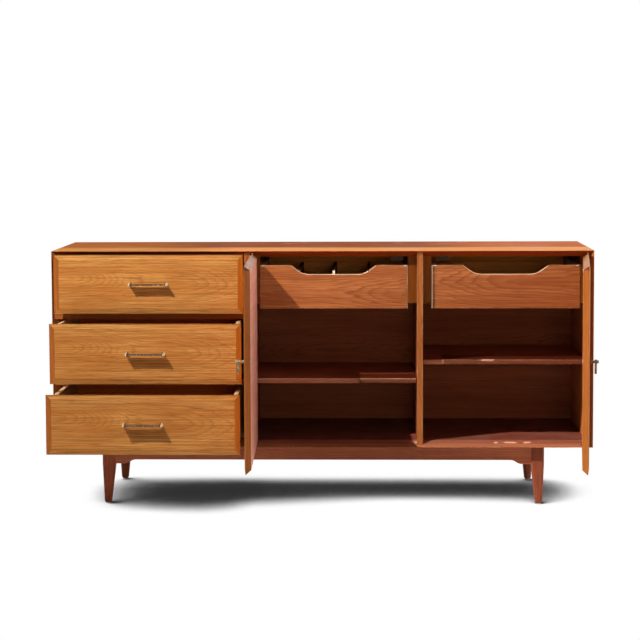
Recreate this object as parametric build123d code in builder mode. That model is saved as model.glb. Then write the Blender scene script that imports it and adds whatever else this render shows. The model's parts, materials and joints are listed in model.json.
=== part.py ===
"""Long walnut dresser: drawers on the left, two door bays with trays and shelves, low leg base.

Units are millimetres, +Z is up, and the object stands on Z = 0.  Pieces are drawn with Y = 0 at
the front edge of the case and +Y to the back, then moved back so that the whole object, with its
drawers and doors partly open as stored, is centred on the origin.
"""
from build123d import *
from math import cos, radians, sin
import os

os.makedirs("parts", exist_ok=True)

# Case shell
CASE_W = 1676.0
CASE_D = 450.0
CASE_TOP_Z = 795.0
CASE_BASE_Z = 183.0
PANEL_T = 19.0
BEVEL_DEPTH = 27.0
EDGE_FLAT = 1.0
FACE_Y = 8.0
PARTITION_T = 18.0
DRAWER_BAY_W = 579.0
LEFT_BAY_EXTRA_W = 10.0
BACK_T = 6.0
BACK_LAP = 8.0
BACK_INSET = 4.0

# Fronts: drawers and doors share one edge profile
FRONT_T = 19.0
FRONT_TOP_REVEAL = 9.5
FRONT_BASE_REVEAL = 9.5
BACK_BEVEL = 12.5
BORDER_W = 16.0
BORDER_DROP = 3.0

# Drawers
DRAWER_END_REVEAL = 10.0
DRAWER_WALL_GAP = 1.5
DRAWER_GAP = 21.0
MIDDLE_EXTRA_H = 3.0
DRAWER_OPEN_TOP = 33.0
DRAWER_OPEN_MID = 121.0
DRAWER_OPEN_LOW = 195.0
BOX_SIDE_GAP = 11.0
BOX_BACK_GAP = 32.0
BOX_SIDE_T = 12.0
BOX_FLOOR_T = 5.0
BOX_GROOVE = 5.0
BOX_FLOOR_LIFT = 10.0
BOX_SIDE_LIFT = 22.0
BOX_TOP_DROP = 4.0
BOX_TOP_GAP = 3.0
RAIL_GAP = 1.25
RAIL_D = 62.0
RUNNER_W = 23.0
RUNNER_T = 11.0
SLIDE_GAP = 0.3

# Drawer pulls
PULL_SPAN = 111.0
PULL_POST_R = 4.0
PULL_FOOT_R = 6.0
PULL_FOOT_T = 2.0
PULL_REACH = 22.0
PULL_BLADE_D = 14.0
PULL_BLADE_T = 4.5
PULL_TIP_ROUND = 1.5

# Doors
DOOR_HINGE_GAP = 2.5
DOOR_END_LAP = 5.0
DOOR_EDGE_GAP = 2.0
DOOR_LEFT_DEG = 88.6
DOOR_RIGHT_DEG = 83.3
PIVOT_INSET = 4.0
PIVOT_R = 2.0
PIVOT_PLAY = 0.08
PIVOT_TOP_REACH = 5.0
PIVOT_LENGTH = 22.0
SLEEVE_R = 3.0
SLEEVE_L = 12.0
SLEEVE_SINK = 8.0
CORNER_CLIP = 8.0
KNOB_EDGE = 38.0
KNOB_RISE = 22.0
KNOB_FOOT_R = 6.5
KNOB_FOOT_T = 2.5
KNOB_STEM_R = 4.0
KNOB_NECK_R = 3.0
KNOB_NECK_START = 13.0
KNOB_NECK_L = 7.1
KNOB_END_R = 4.6
KNOB_END_T = 5.0
KNOB_ROUND = 1.6
DROP_EYE_R = 6.5
DROP_T = 6.5
DROP_L = 34.0
DROP_TIP_R = 4.0
DROP_ROUND = 1.0
SCREW_R = 2.0
SCREW_HEAD_R = 4.2
SCREW_HEAD_T = 2.2
SCREW_BITE = 10.0
CATCH_W = 40.0
CATCH_H = 12.5
CATCH_D = 28.0
CATCH_Y = 29.3
CATCH_SIDE_GAP = 42.0
STRIKE_T = 1.5
STRIKE_W = 28.0
STRIKE_H = 9.0
STRIKE_DROP = 2.0

# Inner trays
TRAY_MARGIN = 46.5
TRAY_RIGHT_SHIFT = 3.75
TRAY_FRONT_Y = 29.5
TRAY_BACK_GAP = 48.0
TRAY_TOP_GAP = 27.5
TRAY_H = 135.5
TRAY_T = 12.0
TRAY_SIDE_T = 11.0
TRAY_SIDE_LIFT = 8.0
SCOOP_END_W = 98.0
SCOOP_SLOPE_W = 37.0
SCOOP_DEPTH = 28.5
SCOOP_ROUND = 62.0
DIVIDER_T = 8.0
DIVIDER_CELLS = 4
DIVIDER_DROP = 17.0
FILLER_Y = 30.0
FILLER_BACK_GAP = 30.0
FILLER_H = 146.0
TRAY_PLAY = 0.7
TRAY_GROOVE = 5.0
TRAY_GROOVE_DROP = 53.5
TRAY_RUNNER_H = 10.0

# Shelves
SHELF_T = 15.5
SHELF_LEFT_RISE = 191.0
SHELF_RIGHT_RISE = 250.0
SHELF_FRONT_Y = 42.0
SHELF_BACK_GAP = 26.0
SHELF_END_GAP = 1.0
SUPPORT_R = 3.0
SUPPORT_SINK = 9.0
SUPPORT_REACH = 13.0
SUPPORT_W = 12.0
SUPPORT_T = 3.0
SUPPORT_INSET = 60.0

# Leg base
LEG_END_INSET = 168.0
LEG_DEPTH_INSET = 42.0
LEG_SPLAY_X = 4.0
LEG_SPLAY_Y = 9.0
LEG_BLOCK = 40.0
LEG_BLOCK_ROUND = 7.0
LEG_BLOCK_H = 58.0
LEG_FOOT_W = 23.4
LEG_FOOT_ROUND = 11.5
LEG_TOE_W = 17.6
LEG_TOE_ROUND = 8.6
LEG_TOE_H = 4.5
GLIDE_R = 8.0
GLIDE_T = 3.0
GLIDE_ROUND = 1.2
APRON_T = 20.0
APRON_SET = 4.0
APRON_H = 44.0
APRON_END_H = 56.5
APRON_SWEEP_START = 48.0
APRON_SWEEP_L = 38.0
SIDE_APRON_H = 52.0
BLOCK_LEG = 46.0
BLOCK_H = 34.0

# Derived positions
HALF_W = CASE_W / 2
IN_TOP_Z = CASE_TOP_Z - PANEL_T
IN_BASE_Z = CASE_BASE_Z + PANEL_T
IN_SIDE_X = HALF_W - PANEL_T
BACK_Y = CASE_D - BACK_INSET - BACK_T
BEVEL_SLOPE = (PANEL_T - EDGE_FLAT) / BEVEL_DEPTH
FACE_BEVEL = EDGE_FLAT + BEVEL_SLOPE * FACE_Y
INNER_Y = FACE_Y + FRONT_T
DOOR_BAYS_W = 2 * IN_SIDE_X - DRAWER_BAY_W - 2 * PARTITION_T
LEFT_BAY_W = (DOOR_BAYS_W + LEFT_BAY_EXTRA_W) / 2
RIGHT_BAY_W = DOOR_BAYS_W - LEFT_BAY_W
LEFT_WALL_L = -IN_SIDE_X + DRAWER_BAY_W
LEFT_WALL_R = LEFT_WALL_L + PARTITION_T
MID_WALL_L = LEFT_WALL_R + LEFT_BAY_W
MID_WALL_R = MID_WALL_L + PARTITION_T
FRONT_TOP_Z = CASE_TOP_Z - FRONT_TOP_REVEAL
FRONT_BASE_Z = CASE_BASE_Z + FRONT_BASE_REVEAL
FRONTS_H = FRONT_TOP_Z - FRONT_BASE_Z
DRAWER_LEFT_X = -HALF_W + DRAWER_END_REVEAL
DRAWER_RIGHT_X = LEFT_WALL_L - DRAWER_WALL_GAP
DRAWER_H = (FRONTS_H - 2 * DRAWER_GAP - MIDDLE_EXTRA_H) / 3
RAIL_T = DRAWER_GAP - 2 * RAIL_GAP
BOX_LEFT_X = -IN_SIDE_X + BOX_SIDE_GAP
BOX_RIGHT_X = LEFT_WALL_L - BOX_SIDE_GAP
BOX_BACK_Y = CASE_D - BOX_BACK_GAP
MIDDLE_TOP_Z = FRONT_TOP_Z - DRAWER_H - DRAWER_GAP
MIDDLE_H = DRAWER_H + MIDDLE_EXTRA_H
LOW_TOP_Z = FRONT_BASE_Z + DRAWER_H
DOOR_LEFT_X = LEFT_WALL_R + DOOR_HINGE_GAP
DOOR_RIGHT_X = IN_SIDE_X + DOOR_END_LAP
DOOR_W = DOOR_RIGHT_X - MID_WALL_R - DOOR_EDGE_GAP
PIVOT_Y = FACE_Y + PIVOT_INSET
KNOB_Z = (FRONT_TOP_Z + FRONT_BASE_Z) / 2 + KNOB_RISE
TRAY_W = RIGHT_BAY_W - TRAY_MARGIN
TRAY_LEFT_X = (LEFT_WALL_R + MID_WALL_L) / 2
TRAY_RIGHT_X = (MID_WALL_R + IN_SIDE_X) / 2 + TRAY_RIGHT_SHIFT
TRAY_BACK_Y = CASE_D - TRAY_BACK_GAP
TRAY_TOP_Z = IN_TOP_Z - TRAY_TOP_GAP
TRAY_GROOVE_Z = TRAY_TOP_Z - TRAY_GROOVE_DROP
TRAY_RUNNER_Y = TRAY_FRONT_Y + TRAY_T + SLIDE_GAP
DIVIDER_PITCH = (TRAY_W - 2 * TRAY_SIDE_T) / DIVIDER_CELLS
SCOOP_TOP_W = TRAY_W - 2 * SCOOP_END_W
SCOOP_FLOOR_W = SCOOP_TOP_W - 2 * SCOOP_SLOPE_W
FILLER_BACK_Y = CASE_D - FILLER_BACK_GAP
FILLER_BASE_Z = IN_TOP_Z - FILLER_H
SHELF_LEFT_Z = IN_BASE_Z + SHELF_LEFT_RISE
SHELF_RIGHT_Z = IN_BASE_Z + SHELF_RIGHT_RISE
SHELF_BACK_Y = CASE_D - SHELF_BACK_GAP
SUPPORT_FRONT_Y = SHELF_FRONT_Y + SUPPORT_INSET
SUPPORT_BACK_Y = SHELF_BACK_Y - SUPPORT_INSET
LEG_TOP_X = HALF_W - LEG_END_INSET
LEG_FOOT_X = LEG_TOP_X + LEG_SPLAY_X
LEG_FRONT_TOP_Y = LEG_DEPTH_INSET
LEG_FRONT_FOOT_Y = LEG_FRONT_TOP_Y - LEG_SPLAY_Y
LEG_REAR_TOP_Y = CASE_D - LEG_DEPTH_INSET
LEG_REAR_FOOT_Y = LEG_REAR_TOP_Y + LEG_SPLAY_Y
APRON_SWEEP_OUT = LEG_TOP_X - APRON_SWEEP_START
APRON_SWEEP_IN = APRON_SWEEP_OUT - APRON_SWEEP_L
FRAME_Y = (DOOR_W - PIVOT_INSET - PIVOT_Y - CASE_D) / 2


def block(x0, x1, y0, y1, z0, z1, mode=Mode.ADD):
    """A square-edged block between two corners."""
    with BuildSketch(Plane.XY.offset(z0), mode=Mode.PRIVATE) as outline:
        with Locations(((x0 + x1) / 2, (y0 + y1) / 2)):
            Rectangle(x1 - x0, y1 - y0)
    extrude(outline.sketch, amount=z1 - z0, mode=mode)


def prism(plane, points, amount, mode=Mode.ADD):
    """A straight prism on a closed outline."""
    with BuildSketch(plane, mode=Mode.PRIVATE) as outline:
        with BuildLine():
            Polyline(*points, close=True)
        make_face()
    extrude(outline.sketch, amount=amount, mode=mode)


def rod(plane, centre, radius, amount, mode=Mode.ADD):
    """A round rod standing on a plane."""
    with BuildSketch(plane, mode=Mode.PRIVATE) as outline:
        with Locations(centre):
            Circle(radius)
    extrude(outline.sketch, amount=amount, mode=mode)


def frustum(lower, lower_size, upper, upper_size, centre):
    """A four-sided solid between two parallel rectangles with one centre line."""
    with BuildSketch(lower, mode=Mode.PRIVATE) as first:
        with Locations(centre):
            Rectangle(*lower_size)
    with BuildSketch(upper, mode=Mode.PRIVATE) as second:
        with Locations(centre):
            Rectangle(*upper_size)
    loft([first.sketch.faces()[0], second.sketch.faces()[0]])


def save(solid, name):
    """Move a finished piece to its place about the origin, name it and write it out."""
    placed = solid.moved(Location((0, FRAME_Y, 0)))
    placed.label = name
    export_step(placed, f"parts/{name}.step")


def cut_back_lap():
    """The lap along the rear inner edges that takes the back panel."""
    lap_x = IN_SIDE_X + BACK_LAP
    block(-lap_x, lap_x, BACK_Y, CASE_D, IN_BASE_Z - BACK_LAP, IN_TOP_Z + BACK_LAP, Mode.SUBTRACT)


def door_pin_places():
    """Plan positions of the two door pivots."""
    return ((DOOR_LEFT_X + PIVOT_INSET, PIVOT_Y), (DOOR_RIGHT_X - PIVOT_INSET, PIVOT_Y))


PIN_TOP_Z = CASE_TOP_Z - PIVOT_TOP_REACH
PIN_BASE_Z = CASE_BASE_Z + PIVOT_TOP_REACH

# Case shell: four mitred panels with the front edge cut back to a thin edge
with BuildPart() as case_top:
    prism(Plane.XZ, ((-HALF_W, CASE_TOP_Z), (HALF_W, CASE_TOP_Z), (IN_SIDE_X, IN_TOP_Z),
                     (-IN_SIDE_X, IN_TOP_Z)), -CASE_D)
    prism(Plane.YZ.offset(-HALF_W), ((0, CASE_TOP_Z - EDGE_FLAT), (BEVEL_DEPTH, IN_TOP_Z),
                                     (0, IN_TOP_Z)), CASE_W, Mode.SUBTRACT)
    cut_back_lap()
    for pin_place in door_pin_places():
        rod(Plane.XY.offset(PIN_TOP_Z), pin_place, PIVOT_R, -PIVOT_LENGTH, Mode.SUBTRACT)
save(case_top.part, "case_top")

with BuildPart() as case_bottom:
    prism(Plane.XZ, ((-HALF_W, CASE_BASE_Z), (HALF_W, CASE_BASE_Z), (IN_SIDE_X, IN_BASE_Z),
                     (-IN_SIDE_X, IN_BASE_Z)), -CASE_D)
    prism(Plane.YZ.offset(-HALF_W), ((0, CASE_BASE_Z + EDGE_FLAT), (BEVEL_DEPTH, IN_BASE_Z),
                                     (0, IN_BASE_Z)), CASE_W, Mode.SUBTRACT)
    cut_back_lap()
    for pin_place in door_pin_places():
        rod(Plane.XY.offset(PIN_BASE_Z), pin_place, PIVOT_R, PIVOT_LENGTH, Mode.SUBTRACT)
save(case_bottom.part, "case_bottom")


def support_heights(hand):
    """Heights of the shelf underside on the walls of one bay."""
    return SHELF_LEFT_Z - SHELF_T if hand < 0 else SHELF_RIGHT_Z - SHELF_T


def cut_support_holes(wall_x, direction, hand):
    """Holes for the shelf supports, bored into one wall face."""
    height = support_heights(hand) - SUPPORT_T / 2
    for depth in (SUPPORT_FRONT_Y, SUPPORT_BACK_Y):
        rod(Plane.YZ.offset(wall_x), (depth, height), SUPPORT_R, direction * SUPPORT_SINK,
            Mode.SUBTRACT)


def case_side(hand):
    """One mitred end panel; hand is -1 for the left end and 1 for the right end."""
    with BuildPart() as side:
        prism(Plane.XZ, ((hand * HALF_W, CASE_TOP_Z), (hand * IN_SIDE_X, IN_TOP_Z),
                         (hand * IN_SIDE_X, IN_BASE_Z), (hand * HALF_W, CASE_BASE_Z)), -CASE_D)
        prism(Plane.XY.offset(CASE_BASE_Z), ((hand * (HALF_W - EDGE_FLAT), 0),
                                             (hand * IN_SIDE_X, BEVEL_DEPTH),
                                             (hand * IN_SIDE_X, 0)),
              CASE_TOP_Z - CASE_BASE_Z, Mode.SUBTRACT)
        cut_back_lap()
        if hand > 0:
            cut_support_holes(IN_SIDE_X, 1, hand)
    return side.part


save(case_side(-1), "case_side_left")
save(case_side(1), "case_side_right")


def partition(left_x, between_doors):
    """An upright wall whose front ends run up into the edge bevels of the case."""
    nose = PANEL_T - FACE_BEVEL
    with BuildPart() as wall:
        prism(Plane.YZ.offset(left_x),
              ((FACE_Y, IN_TOP_Z + nose), (BEVEL_DEPTH, IN_TOP_Z), (BACK_Y, IN_TOP_Z),
               (BACK_Y, IN_BASE_Z), (BEVEL_DEPTH, IN_BASE_Z), (FACE_Y, IN_BASE_Z - nose)),
              PARTITION_T)
        cut_support_holes(left_x + PARTITION_T, -1, 1 if between_doors else -1)
        if between_doors:
            cut_support_holes(left_x, 1, -1)
    return wall.part


save(partition(LEFT_WALL_L, False), "partition_left")
save(partition(MID_WALL_L, True), "partition_centre")

with BuildPart() as back_panel:
    block(-IN_SIDE_X - BACK_LAP, IN_SIDE_X + BACK_LAP, BACK_Y, BACK_Y + BACK_T,
          IN_BASE_Z - BACK_LAP, IN_TOP_Z + BACK_LAP)
save(back_panel.part, "back_panel")

# Drawer bay: rails between the fronts and runners on both walls
with BuildPart() as drawer_rails:
    for gap_top in (FRONT_TOP_Z - DRAWER_H, MIDDLE_TOP_Z - MIDDLE_H):
        rail_base = gap_top - DRAWER_GAP / 2 - RAIL_T / 2
        prism(Plane.XY.offset(rail_base),
              ((-HALF_W + FACE_BEVEL, FACE_Y), (-IN_SIDE_X, BEVEL_DEPTH), (-IN_SIDE_X, RAIL_D),
               (LEFT_WALL_L, RAIL_D), (LEFT_WALL_L, FACE_Y)), RAIL_T)
save(drawer_rails.part, "drawer_rails")

with BuildPart() as drawer_runners:
    for front_base in (FRONT_TOP_Z - DRAWER_H, MIDDLE_TOP_Z - MIDDLE_H, FRONT_BASE_Z):
        runner_top = front_base + BOX_SIDE_LIFT - SLIDE_GAP
        runner_base = max(runner_top - RUNNER_T, IN_BASE_Z)
        block(-IN_SIDE_X, -IN_SIDE_X + RUNNER_W, RAIL_D, BACK_Y, runner_base, runner_top)
        block(LEFT_WALL_L - RUNNER_W, LEFT_WALL_L, RAIL_D, BACK_Y, runner_base, runner_top)
save(drawer_runners.part, "drawer_runners")


def bevelled_front(plane, width, height, centre):
    """A front with a sloping border on the face and its edges cut back behind the arris."""
    arris = plane.offset(-BORDER_DROP)
    frustum(arris, (width, height), plane, (width - 2 * BORDER_W, height - 2 * BORDER_W), centre)
    frustum(plane.offset(-FRONT_T), (width - 2 * BACK_BEVEL, height - 2 * BACK_BEVEL), arris,
            (width, height), centre)


def drawer(name, top_z, height, opened):
    """One drawer: front, sides, back, floor and pull, moved forward by its opening."""
    base_z = top_z - height
    middle = ((DRAWER_LEFT_X + DRAWER_RIGHT_X) / 2, top_z - height / 2)
    width = DRAWER_RIGHT_X - DRAWER_LEFT_X
    face = Plane.XZ.offset(opened - FACE_Y)
    front_y = INNER_Y - opened
    back_y = BOX_BACK_Y - opened
    side_top = min(top_z - BOX_TOP_DROP, IN_TOP_Z - BOX_TOP_GAP)
    side_base = base_z + BOX_SIDE_LIFT
    floor_z = side_base + BOX_FLOOR_LIFT
    inner_left = BOX_LEFT_X + BOX_SIDE_T
    inner_right = BOX_RIGHT_X - BOX_SIDE_T

    with BuildPart() as front:
        bevelled_front(face, width, height, middle)
    save(front.part, f"{name}_front")

    with BuildPart() as sides:
        block(BOX_LEFT_X, inner_left, front_y, back_y, side_base, side_top)
        block(inner_right, BOX_RIGHT_X, front_y, back_y, side_base, side_top)
        block(inner_left - BOX_GROOVE, inner_right + BOX_GROOVE, front_y, back_y, floor_z,
              floor_z + BOX_FLOOR_T, Mode.SUBTRACT)
    save(sides.part, f"{name}_sides")

    with BuildPart() as back:
        block(inner_left, inner_right, back_y - BOX_SIDE_T, back_y, floor_z + BOX_FLOOR_T,
              side_top - BOX_TOP_DROP)
    save(back.part, f"{name}_back")

    with BuildPart() as base:
        block(inner_left - BOX_GROOVE, inner_right + BOX_GROOVE, front_y, back_y, floor_z,
              floor_z + BOX_FLOOR_T)
    save(base.part, f"{name}_floor")

    with BuildPart() as pull:
        for hand in (-1, 1):
            spot = (middle[0] + hand * PULL_SPAN / 2, middle[1])
            rod(face, spot, PULL_FOOT_R, PULL_FOOT_T)
            rod(face, spot, PULL_POST_R, PULL_REACH)
        fillet(pull.edges().group_by(Axis.Y)[0], PULL_TIP_ROUND)
        with BuildSketch(face.offset(PULL_REACH - PULL_BLADE_D - PULL_TIP_ROUND)):
            with Locations(middle):
                Rectangle(PULL_SPAN, PULL_BLADE_T)
        extrude(amount=PULL_BLADE_D)
    save(pull.part, f"{name}_pull")


drawer("drawer_top", FRONT_TOP_Z, DRAWER_H, DRAWER_OPEN_TOP)
drawer("drawer_middle", MIDDLE_TOP_Z, MIDDLE_H, DRAWER_OPEN_MID)
drawer("drawer_bottom", LOW_TOP_Z, DRAWER_H, DRAWER_OPEN_LOW)


def door(name, hand, degrees, pivot_x, catch_x):
    """One open door on its pivot line; hand is 1 where the door runs from left to right."""
    swing = radians(degrees)
    outward = Vector(-hand * sin(swing), -cos(swing), 0)
    along = Vector(cos(swing), -hand * sin(swing), 0)
    pivot = Vector(pivot_x, PIVOT_Y, 0)
    face = Plane(origin=pivot + outward * PIVOT_INSET, x_dir=along, z_dir=outward)
    centre = (hand * (DOOR_W / 2 - PIVOT_INSET), (FRONT_TOP_Z + FRONT_BASE_Z) / 2)
    hinge_u = -hand * PIVOT_INSET
    knob = (hand * (DOOR_W - PIVOT_INSET - KNOB_EDGE), KNOB_Z)
    sleeve_plan = Plane(origin=pivot, x_dir=along, z_dir=(0, 0, 1))
    top_sleeve = sleeve_plan.offset(FRONT_TOP_Z - SLEEVE_SINK)
    low_sleeve = sleeve_plan.offset(FRONT_BASE_Z + SLEEVE_SINK)

    with BuildPart() as panel:
        bevelled_front(face, DOOR_W, FRONTS_H, centre)
        for edge_z, turn in ((FRONT_TOP_Z, -1), (FRONT_BASE_Z, 1)):
            prism(face, ((hinge_u, edge_z), (hinge_u + hand * CORNER_CLIP, edge_z),
                         (hinge_u, edge_z + turn * CORNER_CLIP)), -FRONT_T, Mode.SUBTRACT)
        rod(top_sleeve, (0, 0), SLEEVE_R, SLEEVE_SINK, Mode.SUBTRACT)
        rod(top_sleeve, (0, 0), SLEEVE_R, -SLEEVE_L, Mode.SUBTRACT)
        rod(low_sleeve, (0, 0), SLEEVE_R, -SLEEVE_SINK, Mode.SUBTRACT)
        rod(low_sleeve, (0, 0), SLEEVE_R, SLEEVE_L, Mode.SUBTRACT)
        rod(face, knob, SCREW_R, -FRONT_T, Mode.SUBTRACT)
    save(panel.part, f"{name}_panel")

    with BuildPart() as sleeves:
        rod(top_sleeve, (0, 0), SLEEVE_R, -SLEEVE_L)
        rod(low_sleeve, (0, 0), SLEEVE_R, SLEEVE_L)
        rod(top_sleeve, (0, 0), PIVOT_R + PIVOT_PLAY, -SLEEVE_L, Mode.SUBTRACT)
        rod(low_sleeve, (0, 0), PIVOT_R + PIVOT_PLAY, SLEEVE_L, Mode.SUBTRACT)
    save(sleeves.part, f"{name}_pivot_sleeves")

    with BuildPart() as strike:
        with BuildSketch(face.offset(-FRONT_T)):
            with Locations((hand * abs(catch_x - pivot_x),
                            FRONT_TOP_Z - BACK_BEVEL - STRIKE_DROP - STRIKE_H / 2)):
                Rectangle(STRIKE_W, STRIKE_H)
        extrude(amount=-STRIKE_T)
    save(strike.part, f"{name}_strike")

    with BuildPart() as post:
        rod(face, knob, KNOB_FOOT_R, KNOB_FOOT_T)
        rod(face, knob, KNOB_STEM_R, KNOB_NECK_START)
        rod(face, knob, KNOB_NECK_R, KNOB_NECK_START + KNOB_NECK_L)
        rod(face.offset(KNOB_NECK_START + KNOB_NECK_L), knob, KNOB_END_R, KNOB_END_T)
        fillet(post.faces().sort_by_distance(pivot + along * knob[0] + outward * CASE_D
                                             + Vector(0, 0, KNOB_Z))[0].edges(), KNOB_ROUND)
        rod(face, knob, SCREW_R, SCREW_BITE, Mode.SUBTRACT)
    save(post.part, f"{name}_pull_post")

    with BuildPart() as screw:
        rod(face.offset(-FRONT_T), knob, SCREW_R, FRONT_T + SCREW_BITE)
        rod(face.offset(-FRONT_T), knob, SCREW_HEAD_R, -SCREW_HEAD_T)
    save(screw.part, f"{name}_pull_screw")

    with BuildPart() as drop:
        with BuildSketch(face.offset(KNOB_NECK_START + (KNOB_NECK_L - DROP_T) / 2)):
            with BuildLine():
                Polyline((knob[0] - DROP_EYE_R, knob[1]),
                         (knob[0] - DROP_TIP_R, knob[1] - DROP_L),
                         (knob[0] + DROP_TIP_R, knob[1] - DROP_L),
                         (knob[0] + DROP_EYE_R, knob[1]), close=True)
            make_face()
            with Locations(knob):
                Circle(DROP_EYE_R)
            with Locations(knob):
                Circle(KNOB_NECK_R + PIVOT_PLAY, mode=Mode.SUBTRACT)
        extrude(amount=DROP_T)
        fillet(drop.edges().group_by(Axis.Z)[0], DROP_ROUND)
    save(drop.part, f"{name}_pull_drop")


LEFT_PIN, RIGHT_PIN = door_pin_places()
CATCH_LEFT_X = MID_WALL_L - CATCH_SIDE_GAP - CATCH_W / 2
CATCH_RIGHT_X = MID_WALL_R + CATCH_SIDE_GAP + CATCH_W / 2
door("door_left", 1, DOOR_LEFT_DEG, LEFT_PIN[0], CATCH_LEFT_X)
door("door_right", -1, DOOR_RIGHT_DEG, RIGHT_PIN[0], CATCH_RIGHT_X)

with BuildPart() as door_pivot_pins:
    for pin_place in door_pin_places():
        rod(Plane.XY.offset(PIN_TOP_Z), pin_place, PIVOT_R, -PIVOT_LENGTH)
        rod(Plane.XY.offset(PIN_BASE_Z), pin_place, PIVOT_R, PIVOT_LENGTH)
save(door_pivot_pins.part, "door_pivot_pins")

with BuildPart() as door_catches:
    for catch_x in (CATCH_LEFT_X, CATCH_RIGHT_X):
        block(catch_x - CATCH_W / 2, catch_x + CATCH_W / 2, CATCH_Y, CATCH_Y + CATCH_D,
              IN_TOP_Z - CATCH_H, IN_TOP_Z)
save(door_catches.part, "door_catches")

# Tray fillers and runners: packing blocks that carry the trays clear of the open doors
TRAY_SIDES_X = ((LEFT_WALL_R, TRAY_LEFT_X - TRAY_W / 2), (MID_WALL_L, TRAY_LEFT_X + TRAY_W / 2),
                (MID_WALL_R, TRAY_RIGHT_X - TRAY_W / 2), (IN_SIDE_X, TRAY_RIGHT_X + TRAY_W / 2))

with BuildPart() as tray_fillers:
    for wall_x, tray_x in TRAY_SIDES_X:
        edge_x = tray_x - TRAY_PLAY if tray_x > wall_x else tray_x + TRAY_PLAY
        block(min(wall_x, edge_x), max(wall_x, edge_x), FILLER_Y, FILLER_BACK_Y, FILLER_BASE_Z,
              IN_TOP_Z)
save(tray_fillers.part, "tray_fillers")

with BuildPart() as tray_runners:
    for wall_x, tray_x in TRAY_SIDES_X:
        sign = 1 if tray_x > wall_x else -1
        outer_x = tray_x - sign * TRAY_PLAY
        inner_x = tray_x + sign * (TRAY_GROOVE - SLIDE_GAP)
        block(min(outer_x, inner_x), max(outer_x, inner_x), TRAY_RUNNER_Y, FILLER_BACK_Y,
              TRAY_GROOVE_Z, TRAY_GROOVE_Z + TRAY_RUNNER_H)
save(tray_runners.part, "tray_runners")


def tray(name, centre_x, divided):
    """One inner tray with a scooped front, grooved sides, back and floor."""
    left_x = centre_x - TRAY_W / 2
    right_x = centre_x + TRAY_W / 2
    base_z = TRAY_TOP_Z - TRAY_H
    box_y = TRAY_FRONT_Y + TRAY_T
    side_base = base_z + TRAY_SIDE_LIFT
    inner_left = left_x + TRAY_SIDE_T
    inner_right = right_x - TRAY_SIDE_T
    floor_z = side_base + BOX_FLOOR_LIFT
    floor_top = floor_z + BOX_FLOOR_T
    back_y = TRAY_BACK_Y - TRAY_SIDE_T

    with BuildPart() as front:
        block(left_x, right_x, TRAY_FRONT_Y, box_y, base_z, TRAY_TOP_Z)
        with BuildSketch(Plane.XZ.offset(-TRAY_FRONT_Y)) as scoop:
            with BuildLine():
                Polyline((centre_x - SCOOP_TOP_W / 2, TRAY_TOP_Z),
                         (centre_x - SCOOP_FLOOR_W / 2, TRAY_TOP_Z - SCOOP_DEPTH),
                         (centre_x + SCOOP_FLOOR_W / 2, TRAY_TOP_Z - SCOOP_DEPTH),
                         (centre_x + SCOOP_TOP_W / 2, TRAY_TOP_Z), close=True)
            make_face()
            fillet(scoop.vertices().group_by(Axis.Y)[0], SCOOP_ROUND)
        extrude(amount=-TRAY_T, mode=Mode.SUBTRACT)
    save(front.part, f"{name}_front")

    with BuildPart() as sides:
        block(left_x, inner_left, box_y, TRAY_BACK_Y, side_base, TRAY_TOP_Z)
        block(inner_right, right_x, box_y, TRAY_BACK_Y, side_base, TRAY_TOP_Z)
        block(inner_left - BOX_GROOVE, inner_right + BOX_GROOVE, box_y, TRAY_BACK_Y, floor_z,
              floor_top, Mode.SUBTRACT)
        for groove_x in (left_x, right_x - TRAY_GROOVE):
            block(groove_x, groove_x + TRAY_GROOVE, box_y, TRAY_BACK_Y,
                  TRAY_GROOVE_Z - SLIDE_GAP, TRAY_GROOVE_Z + TRAY_RUNNER_H + SLIDE_GAP,
                  Mode.SUBTRACT)
    save(sides.part, f"{name}_sides")

    with BuildPart() as back:
        block(inner_left, inner_right, back_y, TRAY_BACK_Y, floor_top, TRAY_TOP_Z - DIVIDER_DROP)
    save(back.part, f"{name}_back")

    with BuildPart() as base:
        block(inner_left - BOX_GROOVE, inner_right + BOX_GROOVE, box_y, TRAY_BACK_Y, floor_z,
              floor_top)
    save(base.part, f"{name}_floor")

    if divided:
        with BuildPart() as dividers:
            for step in (-1, 0, 1):
                place_x = centre_x + step * DIVIDER_PITCH
                block(place_x - DIVIDER_T / 2, place_x + DIVIDER_T / 2, box_y, back_y, floor_top,
                      TRAY_TOP_Z - DIVIDER_DROP)
        save(dividers.part, f"{name}_dividers")


tray("tray_left", TRAY_LEFT_X, True)
tray("tray_right", TRAY_RIGHT_X, False)


def shelf(left_x, right_x, top_z):
    """A loose shelf between two walls."""
    with BuildPart() as board:
        block(left_x + SHELF_END_GAP, right_x - SHELF_END_GAP, SHELF_FRONT_Y, SHELF_BACK_Y,
              top_z - SHELF_T, top_z)
    return board.part


save(shelf(LEFT_WALL_R, MID_WALL_L, SHELF_LEFT_Z), "shelf_left")
save(shelf(MID_WALL_R, IN_SIDE_X, SHELF_RIGHT_Z), "shelf_right")

with BuildPart() as shelf_supports:
    for wall_x, sign, hand in ((LEFT_WALL_R, 1, -1), (MID_WALL_L, -1, -1), (MID_WALL_R, 1, 1),
                               (IN_SIDE_X, -1, 1)):
        seat_z = support_heights(hand)
        for depth in (SUPPORT_FRONT_Y, SUPPORT_BACK_Y):
            rod(Plane.YZ.offset(wall_x), (depth, seat_z - SUPPORT_T / 2), SUPPORT_R,
                -sign * SUPPORT_SINK)
            tip_x = wall_x + sign * SUPPORT_REACH
            block(min(wall_x, tip_x), max(wall_x, tip_x), depth - SUPPORT_W / 2,
                  depth + SUPPORT_W / 2, seat_z - SUPPORT_T, seat_z)
save(shelf_supports.part, "shelf_supports")


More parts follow.
